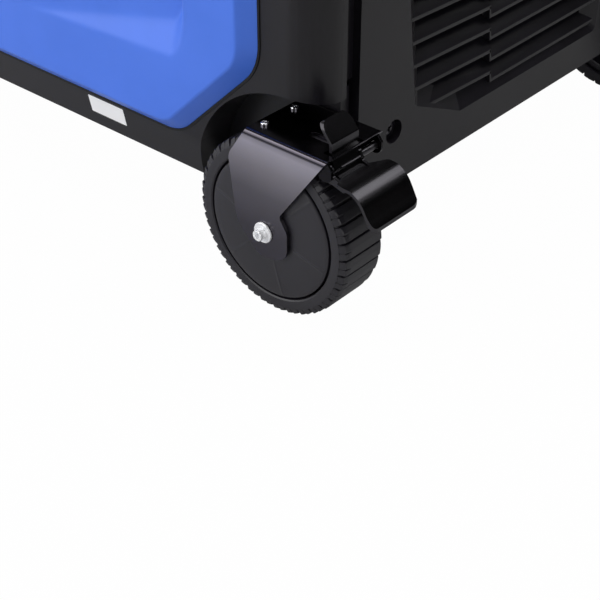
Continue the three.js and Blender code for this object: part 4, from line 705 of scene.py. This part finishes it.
# Slats in a row, from one drawn slat
def slatRow(y0, y1, first, count, rise=0):
    l, front = louvre, panelEdge["face"] - louvre["set"]
    back = front - l["reach"]
    ring = [(front, first), (front, first + l["lip"]), (back, first + l["lip"] + l["reach"]),
            (back, first + l["reach"])]
    slat = soften(prism("Y", ring, y0, y1), 0.35, 2)
    for vertex in slat.data.vertices:
        vertex.co.z -= rise * (vertex.co.y - max(y0, y1))
    return repeat(slat, count, (0, 0, l["pitch"]))


def endPlate(bottom):
    p = panelEdge
    plate = prism("X", roundedRing(rectangle(-p["half"], p["half"], bottom, p["top"], 2), 3),
                  p["face"] - p["wall"], p["face"])
    sides = []
    for side in (-1, 1):
        a, b = sorted((side * (p["half"] - p["wall"]), side * p["half"]))
        c, d = sorted((side * (p["half"] - p["wall"]), side * (p["seam"] + p["lap"])))
        sides += [block(p["flange"] - p["wall"], p["face"] - p["wall"] / 2, a, b, bottom, p["top"]),
                  block(p["flange"] - p["wall"], p["flange"], c, d, max(bottom, p["flangeFoot"]), p["top"])]
    return fuse(plate, *sides)


# A block behind the louvres in the darkened moulding: painted shade in the grille's depth
def placeBacking(name, x0, x1, g):
    back = block(x0, x1, -louvre["backHalf"], louvre["backHalf"], g["bottom"] + louvre["backInset"],
                 g["top"] - louvre["backInset"])
    place(soften(back, 0.3, 1), name, "shellPaintedShade", "frame", "shell")


def makeEndPanel():
    g, l, e, b = grille, louvre, exhaust, counterbore
    corners = g["mouth"]
    skin = fuse(endPlate(housing["bottom"]), dish(corners, l["wall"], l["mouth"]))
    y, low = g["screws"]
    for side in (-1, 1):
        for z in (low, g["top"]):
            fuse(skin, rod("X", side * y, z, b["wall"], b["back"], b["rim"]))
            cut(skin, rod("X", side * y, z, b["radius"], b["floor"], 360))
    cut(skin, dish(corners, 0, l["throat"], 10))
    (d0, z0), (d1, z1) = g["divider"][:2]
    slant = (d1 - d0) / (z1 - z0)
    x0, x1, plateSide, plateTop = g["plate"]
    plate = withinMouth(block(x0, x1, d1 + 0.01, plateSide, g["shortTop"], plateTop), corners)
    fuse(skin, plate, rod("X", e["y"], e["z"], e["collar"], x0, panelEdge["face"], 64))
    cut(skin, rod("X", e["y"], e["z"], e["hole"], 300, 380, 64))
    place(shade(soften(skin, 0.8, 2, 24), 30), "exhaustEndPanel", "shell", "frame", "shell", "end_panel")

    # Long slats on the left of the divider, a step above the short ones on its right, and jogs between them
    side, floor, roof = g["clear"]
    foot = (d0 - slant * (z0 - floor), floor)
    left = prism("X", [(-side, floor), foot] + g["divider"][1:] + [(-side, roof)], 300, 360)
    right = prism("X", [(side, floor), (side, roof)] + g["divider"][:0:-1] + [foot], 300, 360)
    first, shortCount = g["firstLip"], lipCount(g["firstLip"], g["shortTop"])
    long = slatRow(*g["longSlats"], first + l["step"], lipCount(first, g["top"]), g["rise"])
    long = withinMouth(common(long, left), corners)
    short = withinMouth(common(slatRow(*g["shortSlats"], first, shortCount), right), corners)
    high = first + l["step"] + l["lip"]
    atFirst, atHigh = d0 + slant * (first - z0), d0 + slant * (high - z0)
    corner = [(atFirst - l["jog"], first), (atFirst, first), (atHigh, high), (atHigh - l["jog"], high)]
    jog = prism("X", corner, *l["jogDepth"])
    jogs = repeat(jog, shortCount, (0, slant * l["pitch"], l["pitch"]))
    w, top = l["ribHalf"], g["ribTop"]
    rib = prism("X", [(d0 - w, z0), (d0 + w, z0), (d1 + w, z1), (d1 + w, top), (d1 - w, top), (d1 - w, z1)],
                *l["ribDepth"])
    slats = gather(long, short, jogs, withinMouth(rib, corners))
    place(shade(slats, 30, False), "exhaustLouvres", "shell", "frame", "shell")
    placeBacking("louvreBacking", *l["backDepth"], g)


def windowRing(grown):
    w = window
    half = w["half"] + grown
    return roundedRing(rectangle(-half, half, w["bottom"] - grown, w["top"] + grown, w["corner"] + grown), 8)


def makeFrontPanel():
    g, l, w = intake, louvre, window
    corners = mouthCorners(g)
    skin = fuse(endPlate(housing["skirtTop"]), dish(corners, l["wall"], l["mouth"]),
                prism("X", windowRing(w["rim"]), w["back"], w["front"]))
    cut(skin, dish(corners, 0, l["throat"], 10), prism("X", windowRing(0), 320, 360))
    shade(soften(faceControls(skin), 0.8, 2, 24), 30)
    place(skin, "controlEndPanel", "shell", "frame", "shell", "front_panel")
    slats = withinMouth(slatRow(*g["slats"], g["firstLip"], lipCount(g["firstLip"], g["top"])), corners)
    ribBack, half = l["ribDepth"][0], l["ribHalf"]
    rib = withinMouth(block(ribBack, g["ribFront"], -half, half, g["bottom"], g["top"]), corners)
    place(shade(faceControls(gather(slats, rib)), 30, False), "intakeLouvres", "shell", "frame", "shell")
    back, front = l["backDepth"]
    placeBacking("intakeBacking", -front, -back, g)


makeEndPanel()
makeFrontPanel()
print("stage: end panels made")

# ---- wheels: a lugged rubber tyre on a domed moulded hub ----
# The tyre's steps are (share of a lug, depth of the tread, depth of the shoulder), a ratchet on the shoulder
tyre = {
    "lugs": 32, "radius": 75, "groove": 2.6, "notch": 1.8, "outer": 279, "inner": 231.5, "bead": 60.5,
    "sidewall": 69.5,
    "steps": [(0, 1, 1), (0.03, 1, 1), (0.05, 0.95, 0.95), (0.115, 0.9, 0.9), (0.135, 0.1, 0.12),
        (0.16, 0, 0), (0.3, 0.02, 0.16), (0.46, 0.05, 0.4), (0.49, 0.06, 1), (0.51, 0.06, 1),
        (0.57, 0.07, 0.9), (0.59, 0.07, 0.12), (0.62, 0.08, 0), (0.78, 0.16, 0.16), (0.93, 0.26, 0.4),
        (0.965, 0.34, 0.5), (1, 1, 1)]
}
# The hub's dome is (radius, height over the tyre's side); its angles crowd round each ridge to keep it narrow
hub = {
    "ridges": 6, "ridgeAt": -16, "ridge": 0.3, "ridgeWidth": 1.1, "ridgeFrom": 27, "ridgeTo": 57, "bore": 4.5,
    "dome": [(59.2, -45), (59.2, -2), (58.95, -0.7), (58.3, -0.15), (57.2, 0.15), (56.5, 0.3), (52, 0.75),
        (47, 1.05), (42, 1.35), (37, 1.6), (32, 1.8), (28, 1.9), (25, 2), (24, 2.2), (5, 2.2)],
    "angles": [-24, -18, -12, -7, -4, -2.4, -1.6, -1, -0.5, 0, 0.5, 1, 1.6, 2.4, 4, 7, 12, 18, 24, 30],
    "hollow": [(52, -200), (52, -243.5), (49, -273), (20, -274)], "sleeve": (15, -275, -222.8),
    "web": (14, 52.5, -275, -237.5, -1.5, 1.5)
}


# One lug and its groove, an open slice that the tree turns round the axle and the merge closes
def makeTyre():
    t = tyre
    o, i, r, s, b = (t[key] for key in ("outer", "inner", "radius", "sidewall", "bead"))
    pitch = 2 * pi / t["lugs"]
    # (radius, distance from the middle plane, share of the groove's depth, share of the shoulder notch)
    run = [(b, o - 3.5, 0, 0), (b + 0.5, o - 0.9, 0, 0), (b + 1.6, o - 0.1, 0, 0), (s - 4, o, 0, 0),
           (s - 1.2, o - 0.1, 0, 0), (s, o - 0.4, 0, 0.2), (s + 0.7, o - 0.9, 0.2, 1),
           (s + 2.8, o - 1.6, 0.5, 1), (r - 0.7, o - 2.6, 0.7, 1), (r - 0.1, o - 3.6, 0.9, 0.8),
           (r, o - 6.5, 1, 0.5), (r, o - 8.5, 1, 0), (r, (o + i) / 2, 1, 0), (r, i + 5, 1, 0),
           (r - 0.2, i + 4, 1, 0), (r - 2.5, i + 1.6, 0.9, 0), (s, i + 0.3, 0.4, 0), (s - 3, i, 0, 0),
           (b + 1, i, 0, 0), (b, i + 1, 0, 0), (b, i + 3, 0, 0)]
    points = []
    for share, depth, notch in t["steps"]:
        for radius, y, part, edge in run:
            reach = radius - t["groove"] * depth * part - t["notch"] * notch * edge
            points.append((reach * cos(pitch * share), -y, reach * sin(pitch * share)))
    lug = addObject(points, bandFaces(len(t["steps"]), len(run)))
    ring = repeat(lug, t["lugs"], turn=(0, pitch, 0), finish="tyre", move=(wheel["x"], 0, wheel["z"]))
    placePair(shade(turnOutward(ring), 24), "tyre", "tyre", "wheel", "tyre", "tyre")


def makeHub():
    h = hub
    x, z = wheel["x"], wheel["z"]
    angles = [(h["ridgeAt"] + 60 * k + a, a) for k in range(h["ridges"]) for a in h["angles"]]
    rings = []
    for radius, height in h["dome"]:
        ring = []
        for degrees, fromRidge in angles:
            a, aside = radians(degrees), radians(fromRidge) * radius
            share = exp(-(aside / h["ridgeWidth"]) ** 2) if h["ridgeFrom"] < radius < h["ridgeTo"] else 0
            ring.append((x + radius * cos(a), -(tyre["outer"] + height) - h["ridge"] * share,
                         z + radius * sin(a)))
        rings.append(ring)
    disc = cut(skinRings(rings), lathe("Y", x, z, h["hollow"], 96))
    fuse(disc, rod("Y", x, z, *h["sleeve"]))
    web = rotate(block(*h["web"]), radians(-h["ridgeAt"]), "Y")
    fuse(disc, repeat(web, h["ridges"], turn=(0, 2 * pi / h["ridges"], 0), finish="hub", move=(x, 0, z)))
    soften(cut(disc, rod("Y", x, z, h["bore"], -300, -200)), 0.4, 2, 50)
    placePair(shade(disc, 32, False), "hub", "hub", "wheel", "hub", "wheel_hub")


makeTyre()
makeHub()
print("stage: wheels made")

# ---- fork: one bent sheet over each wheel, with ears, screws, pin and axle ----
fork = {
    "sheet": 3, "outer": 285, "inner": 219.3, "top": 157.5, "foot": 20, "bend": 3.6,
    "screws": (313.6, -270.4, -237.4),
    "outline": [(288.6, 130, 13), (295.4, 76, 30), (318.5, 50.4, 17), (347.6, 57.5, 14), (347.4, 82.5, 9),
        (339.4, 94.4, 5), (384.3, 156.6, 2), (384.3, 166.5, 0.5), (306, 166.5, 0.5), (306, 156, 2)],
    "stemSlot": (373.6, 383.4, -275, -241.2, 1), "springSlot": (347, 372, -262, -255, 3)
}
ear = {
    "sheet": 2.5, "sides": (-281.7, -224.8), "holeFrom": -280.8,
    "corners": [(374.2, 154.4, 0.5), (374.2, 139.2, 6), (386.8, 139.2, 6), (386.8, 150, 3), (383, 154.4, 0.5)]
}
pivot = {"x": 380.5, "z": 145.5, "hole": 3.4, "pin": [(2.7, -280.4), (3, -280), (3, -222.7), (2.7, -222.4)]}
axle = {
    "washer": [(8.6, -285.35), (8.6, -286.6), (8.2, -287), (4.6, -287)],
    "pin": [(4, -201.5), (4, -287.2), (4.5, -287.6), (4.6, -292.2), (4.2, -292.8)],
    "slot": (-1.6, 1.6, -2.6, 2.6, 1.55), "slotDepth": (-300, -290.2)
}
# A pan head's crown is (share of the radius, share of the height), its cross in shares of the radius
panHead = {
    "crown": [(1, 0), (1, 0.45), (0.94, 0.75), (0.78, 0.94), (0.5, 1)], "long": 0.62, "wide": 0.17,
    "turn": 0.4
}


def makeFork():
    f = fork
    o, i, t, s, b, foot = (f[key] for key in ("outer", "inner", "top", "sheet", "bend", "foot"))
    inner = b - s + 0.4
    section = [(-o, foot, 0.4), (-o + s, foot, 0.4), (-o + s, t - s, inner), (-i - s, t - s, inner),
               (-i - s, foot, 0.4), (-i, foot, 0.4), (-i, t, b), (-o, t, b)]
    sheet = common(prism("X", roundedRing(section), 250, 420),
                   prism("Y", roundedRing(f["outline"], 10), -320, -180))
    slots = [prism("Z", roundedRing(rectangle(*f[name]), steps), 140, 170)
             for name, steps in (("stemSlot", 4), ("springSlot", 6))]
    cut(sheet, *slots, rod("Y", wheel["x"], wheel["z"], well["boltHole"], -320, 0))
    shade(soften(sheet, 0.5, 3, 38), 50)
    ears = []
    for y in ear["sides"]:
        lug = cut(prism("Y", roundedRing(ear["corners"], 6), y, y + ear["sheet"]),
                  rod("Y", pivot["x"], pivot["z"], pivot["hole"], ear["holeFrom"], 0, 32))
        ears.append(shade(soften(lug, 0.4, 2, 38), 50))
    placePair(gather(*ears), "forkEars", "platePaintedShade", "frame", "black_steel")
    placePair(sheet, "fork", "forkSteelPaintedLight", "frame", "black_steel", "wheel_bracket")


# Pan-head screw: crown, washer face and a cross recess
def panScrew(radius, height, recess):
    p = panHead
    head = lathe("Z", 0, 0, [(radius * across, height * up) for across, up in p["crown"]], 32)
    for turn in (0, pi / 2):
        long, wide = radius * p["long"], radius * p["wide"]
        cut(head, rotate(block(-long, long, -wide, wide, height - recess, height + 1), turn + p["turn"], "Z"))
    return soften(head, radius * 0.04, 1, 40)


def makeForkScrews():
    x, y0, y1 = fork["screws"]
    head = repeat(panScrew(3.5, 2.3, 1.3), 2, (0, y1 - y0, 0), finish="screwSteel",
                  move=(x, y0, fork["top"] + 0.05))
    placePair(shade(head), "forkScrews", "screwSteel", "frame", "zinc")
    pin = lathe("Y", pivot["x"], pivot["z"], pivot["pin"], 32)
    placePair(shade(pin), "brakePin", "darkScrew", "frame", "zinc", "brake_pin")


def makeAxle():
    x, z = wheel["x"], wheel["z"]
    washer, pin = (lathe("Y", x, z, axle[part], 48) for part in ("washer", "pin"))
    cut(pin, shift(prism("Y", roundedRing(rectangle(*axle["slot"]), 6), *axle["slotDepth"]), x, 0, z))
    whole = shade(soften(gather(washer, pin), 0.18, 2, 40), 45)
    placePair(whole, "axleBolt", "zinc", "frame", "zinc", "axle_bolt")


makeFork()
makeForkScrews()
makeAxle()
print("stage: forks made")

# ---- brake rocker: release tab, neck, cheeks and a pressed pedal ----
rocker = {
    "sheet": 2.5, "far": -273.3, "near": -243.3, "neck": -249.3, "stem": 380.3, "fold": 166, "lean": 40,
    "reach": 18, "stemFoot": [(386.2, 143.2), (380.3, 153)], "foldRadius": 3.2, "tabRadius": 7,
    "pad": (-280.8, -226.8),
    "profile": [(386.4, 142.9), (390.5, 141.4), (396.5, 140.5), (402.4, 140.2), (404.8, 139.6),
        (407.5, 138.2), (410, 136.6), (412.3, 134.7), (414.4, 132.5), (416.1, 130.1), (418.1, 126.6),
        (420.5, 122.2), (422.8, 117.8), (424.5, 115.3), (426.7, 113.3)],
    "plan": [(380, -273.3, 0.5), (389.5, -273.3, 1.2), (391, -280.8, 2.5), (424.6, -280.8, 7),
        (424.6, -210.8, 11), (403, -226.4, 14), (395.5, -226.8, 4), (386.8, -249.3, 2), (380, -249.3, 0.5)],
    "cheek": [(374.4, 139.3, 4.5), (386.6, 137.6, 3), (397, 134.6, 2), (398.5, 138.6, 1), (386, 144.2, 1),
        (383, 151.6, 3), (374.4, 151.6, 4.5)],
    "cheeks": ((-278.9, -276.4), (-245.8, -243.3)), "link": (376.6, 386, -278.9, -243.3, 141.6, 146.5),
    "shoe": (-267, -246), "shoeBack": [(375.5, 145.5), (380.5, 150.5), (385, 147)],
    "shoeArcs": ((78, 44, 50, 4), (83, 48, 44, 3))
}


# A smooth curve through points, in equal steps from each to the next
def curveThrough(points, steps=5):
    curve = []
    for k in range(len(points) - 1):
        quads = list(zip(*(points[min(max(k + j, 0), len(points) - 1)] for j in (-1, 0, 1, 2))))
        for t in (j / steps for j in range(steps)):
            curve.append(tuple(0.5 * (2 * b + (c - a) * t + (2 * a - 5 * b + 4 * c - d) * t * t
                                      + (3 * b - a - 3 * c + d) * t ** 3) for a, b, c, d in quads))
    return curve + [points[-1]]


def makeRocker():
    r = rocker
    lean, far, near, neck = radians(r["lean"]), r["far"], r["near"], r["neck"]
    tip = (r["stem"] - r["reach"] * sin(lean), r["fold"] + r["reach"] * cos(lean))
    run = rounded(r["stemFoot"] + [(r["stem"], r["fold"]), tip], r["foldRadius"], 6)
    top, corner = tip[1] - 0.2, r["tabRadius"]
    outline = [(far, 120, 1), (neck, 120, 1), (neck, 144, 6), (near, 154, 5), (near, top, corner),
               (far, top, corner)]
    stem = common(prism("Y", ribbon(run, r["sheet"]), far, near),
                  prism("X", roundedRing(outline), 340, 400))
    # Pedal skin on its own profile, with rounded outer corners and a narrow neck
    pad = common(prism("Y", ribbon(curveThrough(r["profile"]), -r["sheet"]), *r["pad"]),
                 prism("Z", roundedRing(r["plan"]), 60, 200))
    whole = fuse(stem, pad)
    # Cheeks that hold the pin, a link between them, and the shoe over the tread
    cheeks = [prism("Y", roundedRing(r["cheek"], 6), *ends) for ends in r["cheeks"]]
    under, over = (arcPoints(wheel["x"], wheel["z"], *arc) for arc in r["shoeArcs"])
    fuse(whole, *cheeks, block(*r["link"]), prism("Y", under + r["shoeBack"] + over, *r["shoe"]))
    cut(whole, rod("Y", pivot["x"], pivot["z"], pivot["hole"], -320, 0, 32))
    placePair(shade(soften(whole, 0.55, 3, 30), 50), "brakeRocker", "rockerSteel", "brake", "black_steel",
              "brake_pedal")


makeRocker()
print("stage: brakes made")

# ---- end panel screws and the bare white label ----
endScrews = {"x": 343.1, "half": 163, "low": 122, "head": (6.2, 3.2, 2.2)}
label = {
    "x": 114.2, "z": 93.8, "halfWidth": 21.8, "halfHeight": 8.6, "corner": 0.8, "thick": 0.15, "proud": 0.12
}


def makeSmallParts():
    e = endScrews
    screw = shift(rotate(panScrew(*e["head"]), pi / 2, "Y"), e["x"], 0, 0)
    lower = repeat(screw, 2, (0, 2 * e["half"], 0), finish="darkScrew", move=(0, -e["half"], e["low"]))
    upper = shift(copyOf(lower), 0, 0, grille["top"] - e["low"])
    place(shade(gather(lower, upper)), "endPanelScrews", "darkScrew", "frame", "zinc")

    # The skirt leans in towards its foot, and the label leans with it
    h, w, half = housing, label, label["halfWidth"]
    outline = roundedRing(rectangle(-half, half, -w["halfHeight"], w["halfHeight"], w["corner"]), 4)
    sticker = soften(prism("Z", outline, 0, w["thick"]), 0.05, 1)
    rotate(sticker, pi / 2 + atan2(h["skirtInset"], h["skirtTop"] - h["bottom"]), "X")
    inward = h["skirtInset"] * (h["skirtTop"] - w["z"]) / (h["skirtTop"] - h["bottom"])
    shift(sticker, w["x"], -(h["halfWidth"] - inward) - w["proud"], w["z"])
    place(sticker, "bareLabel", "label", "frame", "shell")


makeSmallParts()
print("stage: small parts made")

# ---- cap, handle, grip and dial ----
# The cap's rings are (share of the radius, height, how much of the lobes is left)
cap = {
    "radius": 41, "lobes": 12, "lobe": 2.5, "bar": (22, 4, 605.2, 608.9),
    "rings": [(0.95, 589.4, 1), (1, 590.8, 1), (1, 601.7, 1), (0.99, 604.2, 1), (0.95, 606.4, 0.9),
        (0.88, 608, 0.5), (0.82, 608.9, 0.1), (0.79, 609.2, 0), (0.72, 609.2, 0), (0.69, 608.7, 0),
        (0.67, 607.4, 0), (0.6, 607, 0), (0.2, 607, 0)]
}
handle = {
    "x": -374, "pivot": 238, "low": 100, "half": 165, "bend": 34, "tube": 9, "sides": 32, "eye": 12,
    "eyeHalf": 9, "hole": 4.35
}
# The grip's groove is (depth, distance from its start)
grip = {
    "radius": 13.4, "half": 107.8, "rings": 18, "margin": 6, "bore": 9.3,
    "groove": [(0, 0), (0.9, 0.8), (0.9, 1.8), (0, 2.6)]
}
dial = {
    "y": 122, "z": 452, "face": -339.9, "proud": -355, "gripHalf": 4, "gripLong": 19, "gripRadius": 18.4,
    "profile": [(4, -331.9), (4, -336.1), (20.4, -336.1), (21, -336.7), (21, -339.9), (19.8, -341.3),
        (15, -342.5), (6, -342.7)],
    "mark": (-355.12, -354.5, 121.1, 122.9, 457, 468.4)
}


def makeCap():
    c, x = cap, housing["capX"]
    turns = [2 * pi * i / (c["lobes"] * 12) for i in range(c["lobes"] * 12)]
    sections = []
    for share, z, lobed in c["rings"]:
        reach = [c["radius"] * share - c["lobe"] * (0.5 - 0.5 * cos(c["lobes"] * a)) ** 3 * lobed
                 for a in turns]
        sections.append(([(x + r * cos(a), r * sin(a)) for r, a in zip(reach, turns)], z))
    long, wide, foot, top = c["bar"]
    whole = fuse(loft("Z", sections), soften(block(x - long, x + long, -wide, wide, foot, top), 1.2, 3))
    place(shade(whole), "fuelCap", "shell", "tank_cap", "shell", "fuel_cap")


def makeHandle():
    h, g = handle, grip
    bend = h["bend"]
    path = [(-h["half"], h["pivot"])] + arcPoints(bend - h["half"], h["low"] + bend, bend, 180, 270, 12)
    path += [(-y, z) for y, z in reversed(path)]
    rings = []
    for i, (y, z) in enumerate(path):
        before, after = Vector(path[max(i - 1, 0)]), Vector(path[min(i + 1, len(path) - 1)])
        along = (after - before).normalized()
        rings.append([(h["x"] + a, y - b * along.y, z + b * along.x)
                      for a, b in circle(0, 0, h["tube"], h["sides"])])
    eyes = []
    for middle in (-h["half"], h["half"]):
        ends = ((1, -h["eyeHalf"]), (0, 1 - h["eyeHalf"]), (0, h["eyeHalf"] - 1), (1, h["eyeHalf"]))
        eyes.append(lathe("Y", h["x"], h["pivot"], [(h["eye"] - lost, middle + y) for lost, y in ends], 48))
    tube = fuse(skinRings(rings), *eyes)
    cut(tube, rod("Y", h["x"], h["pivot"], h["hole"], -200, 200, 32))
    place(shade(tube, 35), "pullHandle", "steel", "handle", "black_steel", "pull_handle")
    # Rings moulded round the foam, one groove to each
    radius, half = g["radius"], g["half"]
    pitch = 2 * (half - g["margin"]) / g["rings"]
    edge = [(radius - 2, half), (radius - 0.6, half - 0.6), (radius, half - 2)]
    run = [(r, -y) for r, y in edge]
    for k in range(g["rings"]):
        run += [(radius - depth, g["margin"] - half + k * pitch + y) for depth, y in g["groove"]]
    run += edge[::-1] + [(g["bore"], half), (g["bore"], -half)]
    foam = lathe("Y", h["x"], h["low"], run, 48, True)
    place(shade(foam, 35), "handleGrip", "foam", "handle", "foam", "handle_grip")


def makeDial():
    d, y, z = dial, dial["y"], dial["z"]
    half, long = d["gripHalf"], d["gripLong"]
    bar = common(block(d["proud"], d["face"], y - half, y + half, z - long, z + long),
                 rod("X", y, z, d["gripRadius"], -360, -330, 64))
    whole = fuse(lathe("X", y, z, d["profile"]), soften(bar, 1.1, 3))
    place(shade(whole, 35), "selectorDial", "blackGloss", "selector", "shell", "selector_knob")
    place(soften(block(*d["mark"]), 0.2, 1), "dialMark", "label", "selector", "shell")


makeCap()
makeHandle()
makeDial()
print("stage: cap, handle and dial made")

# ---- the CAD nodes that stay take their finishes ----
nodeFinishes = {
    "steel": "base_tray rocker_cover handle_bracket_left handle_bracket_right",
    "rubber": "front_foot_left front_foot_right engine_mount_front engine_mount_rear outlet_cover",
    "darkScrew": "brake_spring_left brake_spring_right",
    "zinc": "axle_nut_left axle_nut_right ground_terminal",
    "castAlloy": "crankcase cylinder carburettor inverter_module", "copper": "alternator_stator",
    "iron": "alternator_rotor muffler exhaust_outlet", "shell": "cooling_fan air_cleaner", "tank": "fuel_tank",
    "outlet": "battery duplex_outlet_left duplex_outlet_right locking_outlet", "fascia": "control_fascia",
    "glass": "display", "red": "start_button engine_switch",
    "blackGloss": "eco_switch breaker_upper breaker_lower",
}
for finish, names in nodeFinishes.items():
    for name in names.split():
        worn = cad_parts[name].data.materials
        worn.clear()
        worn.append(finishes[finish])
print("stage: CAD nodes dressed")


# ---- studio ----
# A lamp is (place, what it points at, size, power)
studio = {"floor": "#b9b9b9", "half": 6, "seen": 0.985, "mirrored": 0.08, "horizon": 0.02, "ceiling": 0.01,
          "wall": (0.05, 0.3)}
lamps = {
    "overhead": ((0.1, -0.1, 2.6), (0.1, -0.1, 0), (2.4, 2.4), 72),
    "leftBox": ((-1.2, -2.0, 0.9), (0, 0, 0.3), (2.8, 2.2), 54),
    "rightBox": ((2.1, -1.0, 1.1), (0.2, 0, 0.3), (1.4, 1.2), 12),
    "backBox": ((1.1, 1.25, 1.9), (0.38, -0.25, 0.14), (1.1, 0.8), 9)
}
white = {"Color": (1, 1, 1, 1), "Strength": 1}


# How much of a surface is plain white: nearly all of it in the picture, and a little in what mirrors it
def whiteShare(tree, seen, mirrored=0, ramp=None):
    path = addNode(tree, "LightPath")
    mirrors = addNode(tree, "Math", links={0: (path, "Is Glossy Ray"), 1: (path, "Is Transmission Ray")},
                      operation="MAXIMUM")
    sources = {0: (mirrors, 0), 1: (ramp, "Result")} if ramp else {0: (mirrors, 0)}
    inMirrors = addNode(tree, "Math", {1: mirrored}, sources, operation="MULTIPLY")
    inPicture = addNode(tree, "Math", {1: seen}, {0: (path, "Is Camera Ray")}, operation="MULTIPLY")
    return addNode(tree, "Math", links={0: (inPicture, 0), 1: (inMirrors, 0)}, operation="MAXIMUM")


def makeFloor():
    side = studio["half"]
    floor = addObject([(-side, -side, 0), (side, -side, 0), (side, side, 0), (-side, side, 0)], [(0, 1, 2, 3)],
                      "studioFloor")
    material = bpy.data.materials.new("studioPaper")
    tree = freshTree(material)
    share = whiteShare(tree, studio["seen"], studio["mirrored"])
    paper = addNode(tree, "BsdfDiffuse", {"Color": linear(studio["floor"])})
    glow = addNode(tree, "Emission", white)
    mixed = addNode(tree, "MixShader", links={0: (share, 0), 1: (paper, 0), 2: (glow, 0)})
    addNode(tree, "OutputMaterial", links={"Surface": (mixed, 0)})
    floor.data.materials.append(material)


# Pale walls near the horizon under a dark ceiling, and white for the camera
def makeRoom():
    world = bpy.data.worlds.new("studioRoom")
    bpy.context.scene.world = world
    tree = freshTree(world)
    coords = addNode(tree, "TexCoord")
    axes = addNode(tree, "SeparateXYZ", links={"Vector": (coords, "Generated")})
    low, high = studio["wall"]
    ramp = addNode(tree, "MapRange", {"From Min": low, "From Max": high, "To Min": studio["horizon"],
                                      "To Max": studio["ceiling"]}, {"Value": (axes, "Z")},
                   interpolation_type="SMOOTHSTEP")
    room = addNode(tree, "Background", {"Color": white["Color"]}, {"Strength": (ramp, "Result")})
    plainWhite = addNode(tree, "Background", white)
    share = whiteShare(tree, 1, ramp=ramp)
    mixed = addNode(tree, "MixShader", links={0: (share, 0), 1: (room, 0), 2: (plainWhite, 0)})
    addNode(tree, "OutputWorld", links={"Surface": (mixed, 0)})


def makeLamps():
    for name, (at, towards, size, power) in lamps.items():
        data = bpy.data.lights.new(name, "AREA")
        data.shape = "RECTANGLE"
        data.size, data.size_y = size
        data.energy = power
        lamp = newObject(name, data)
        lamp.location = at
        lamp.rotation_euler = (Vector(at) - Vector(towards)).to_track_quat("Z", "Y").to_euler()


makeFloor()
makeRoom()
makeLamps()
print("stage: studio made")
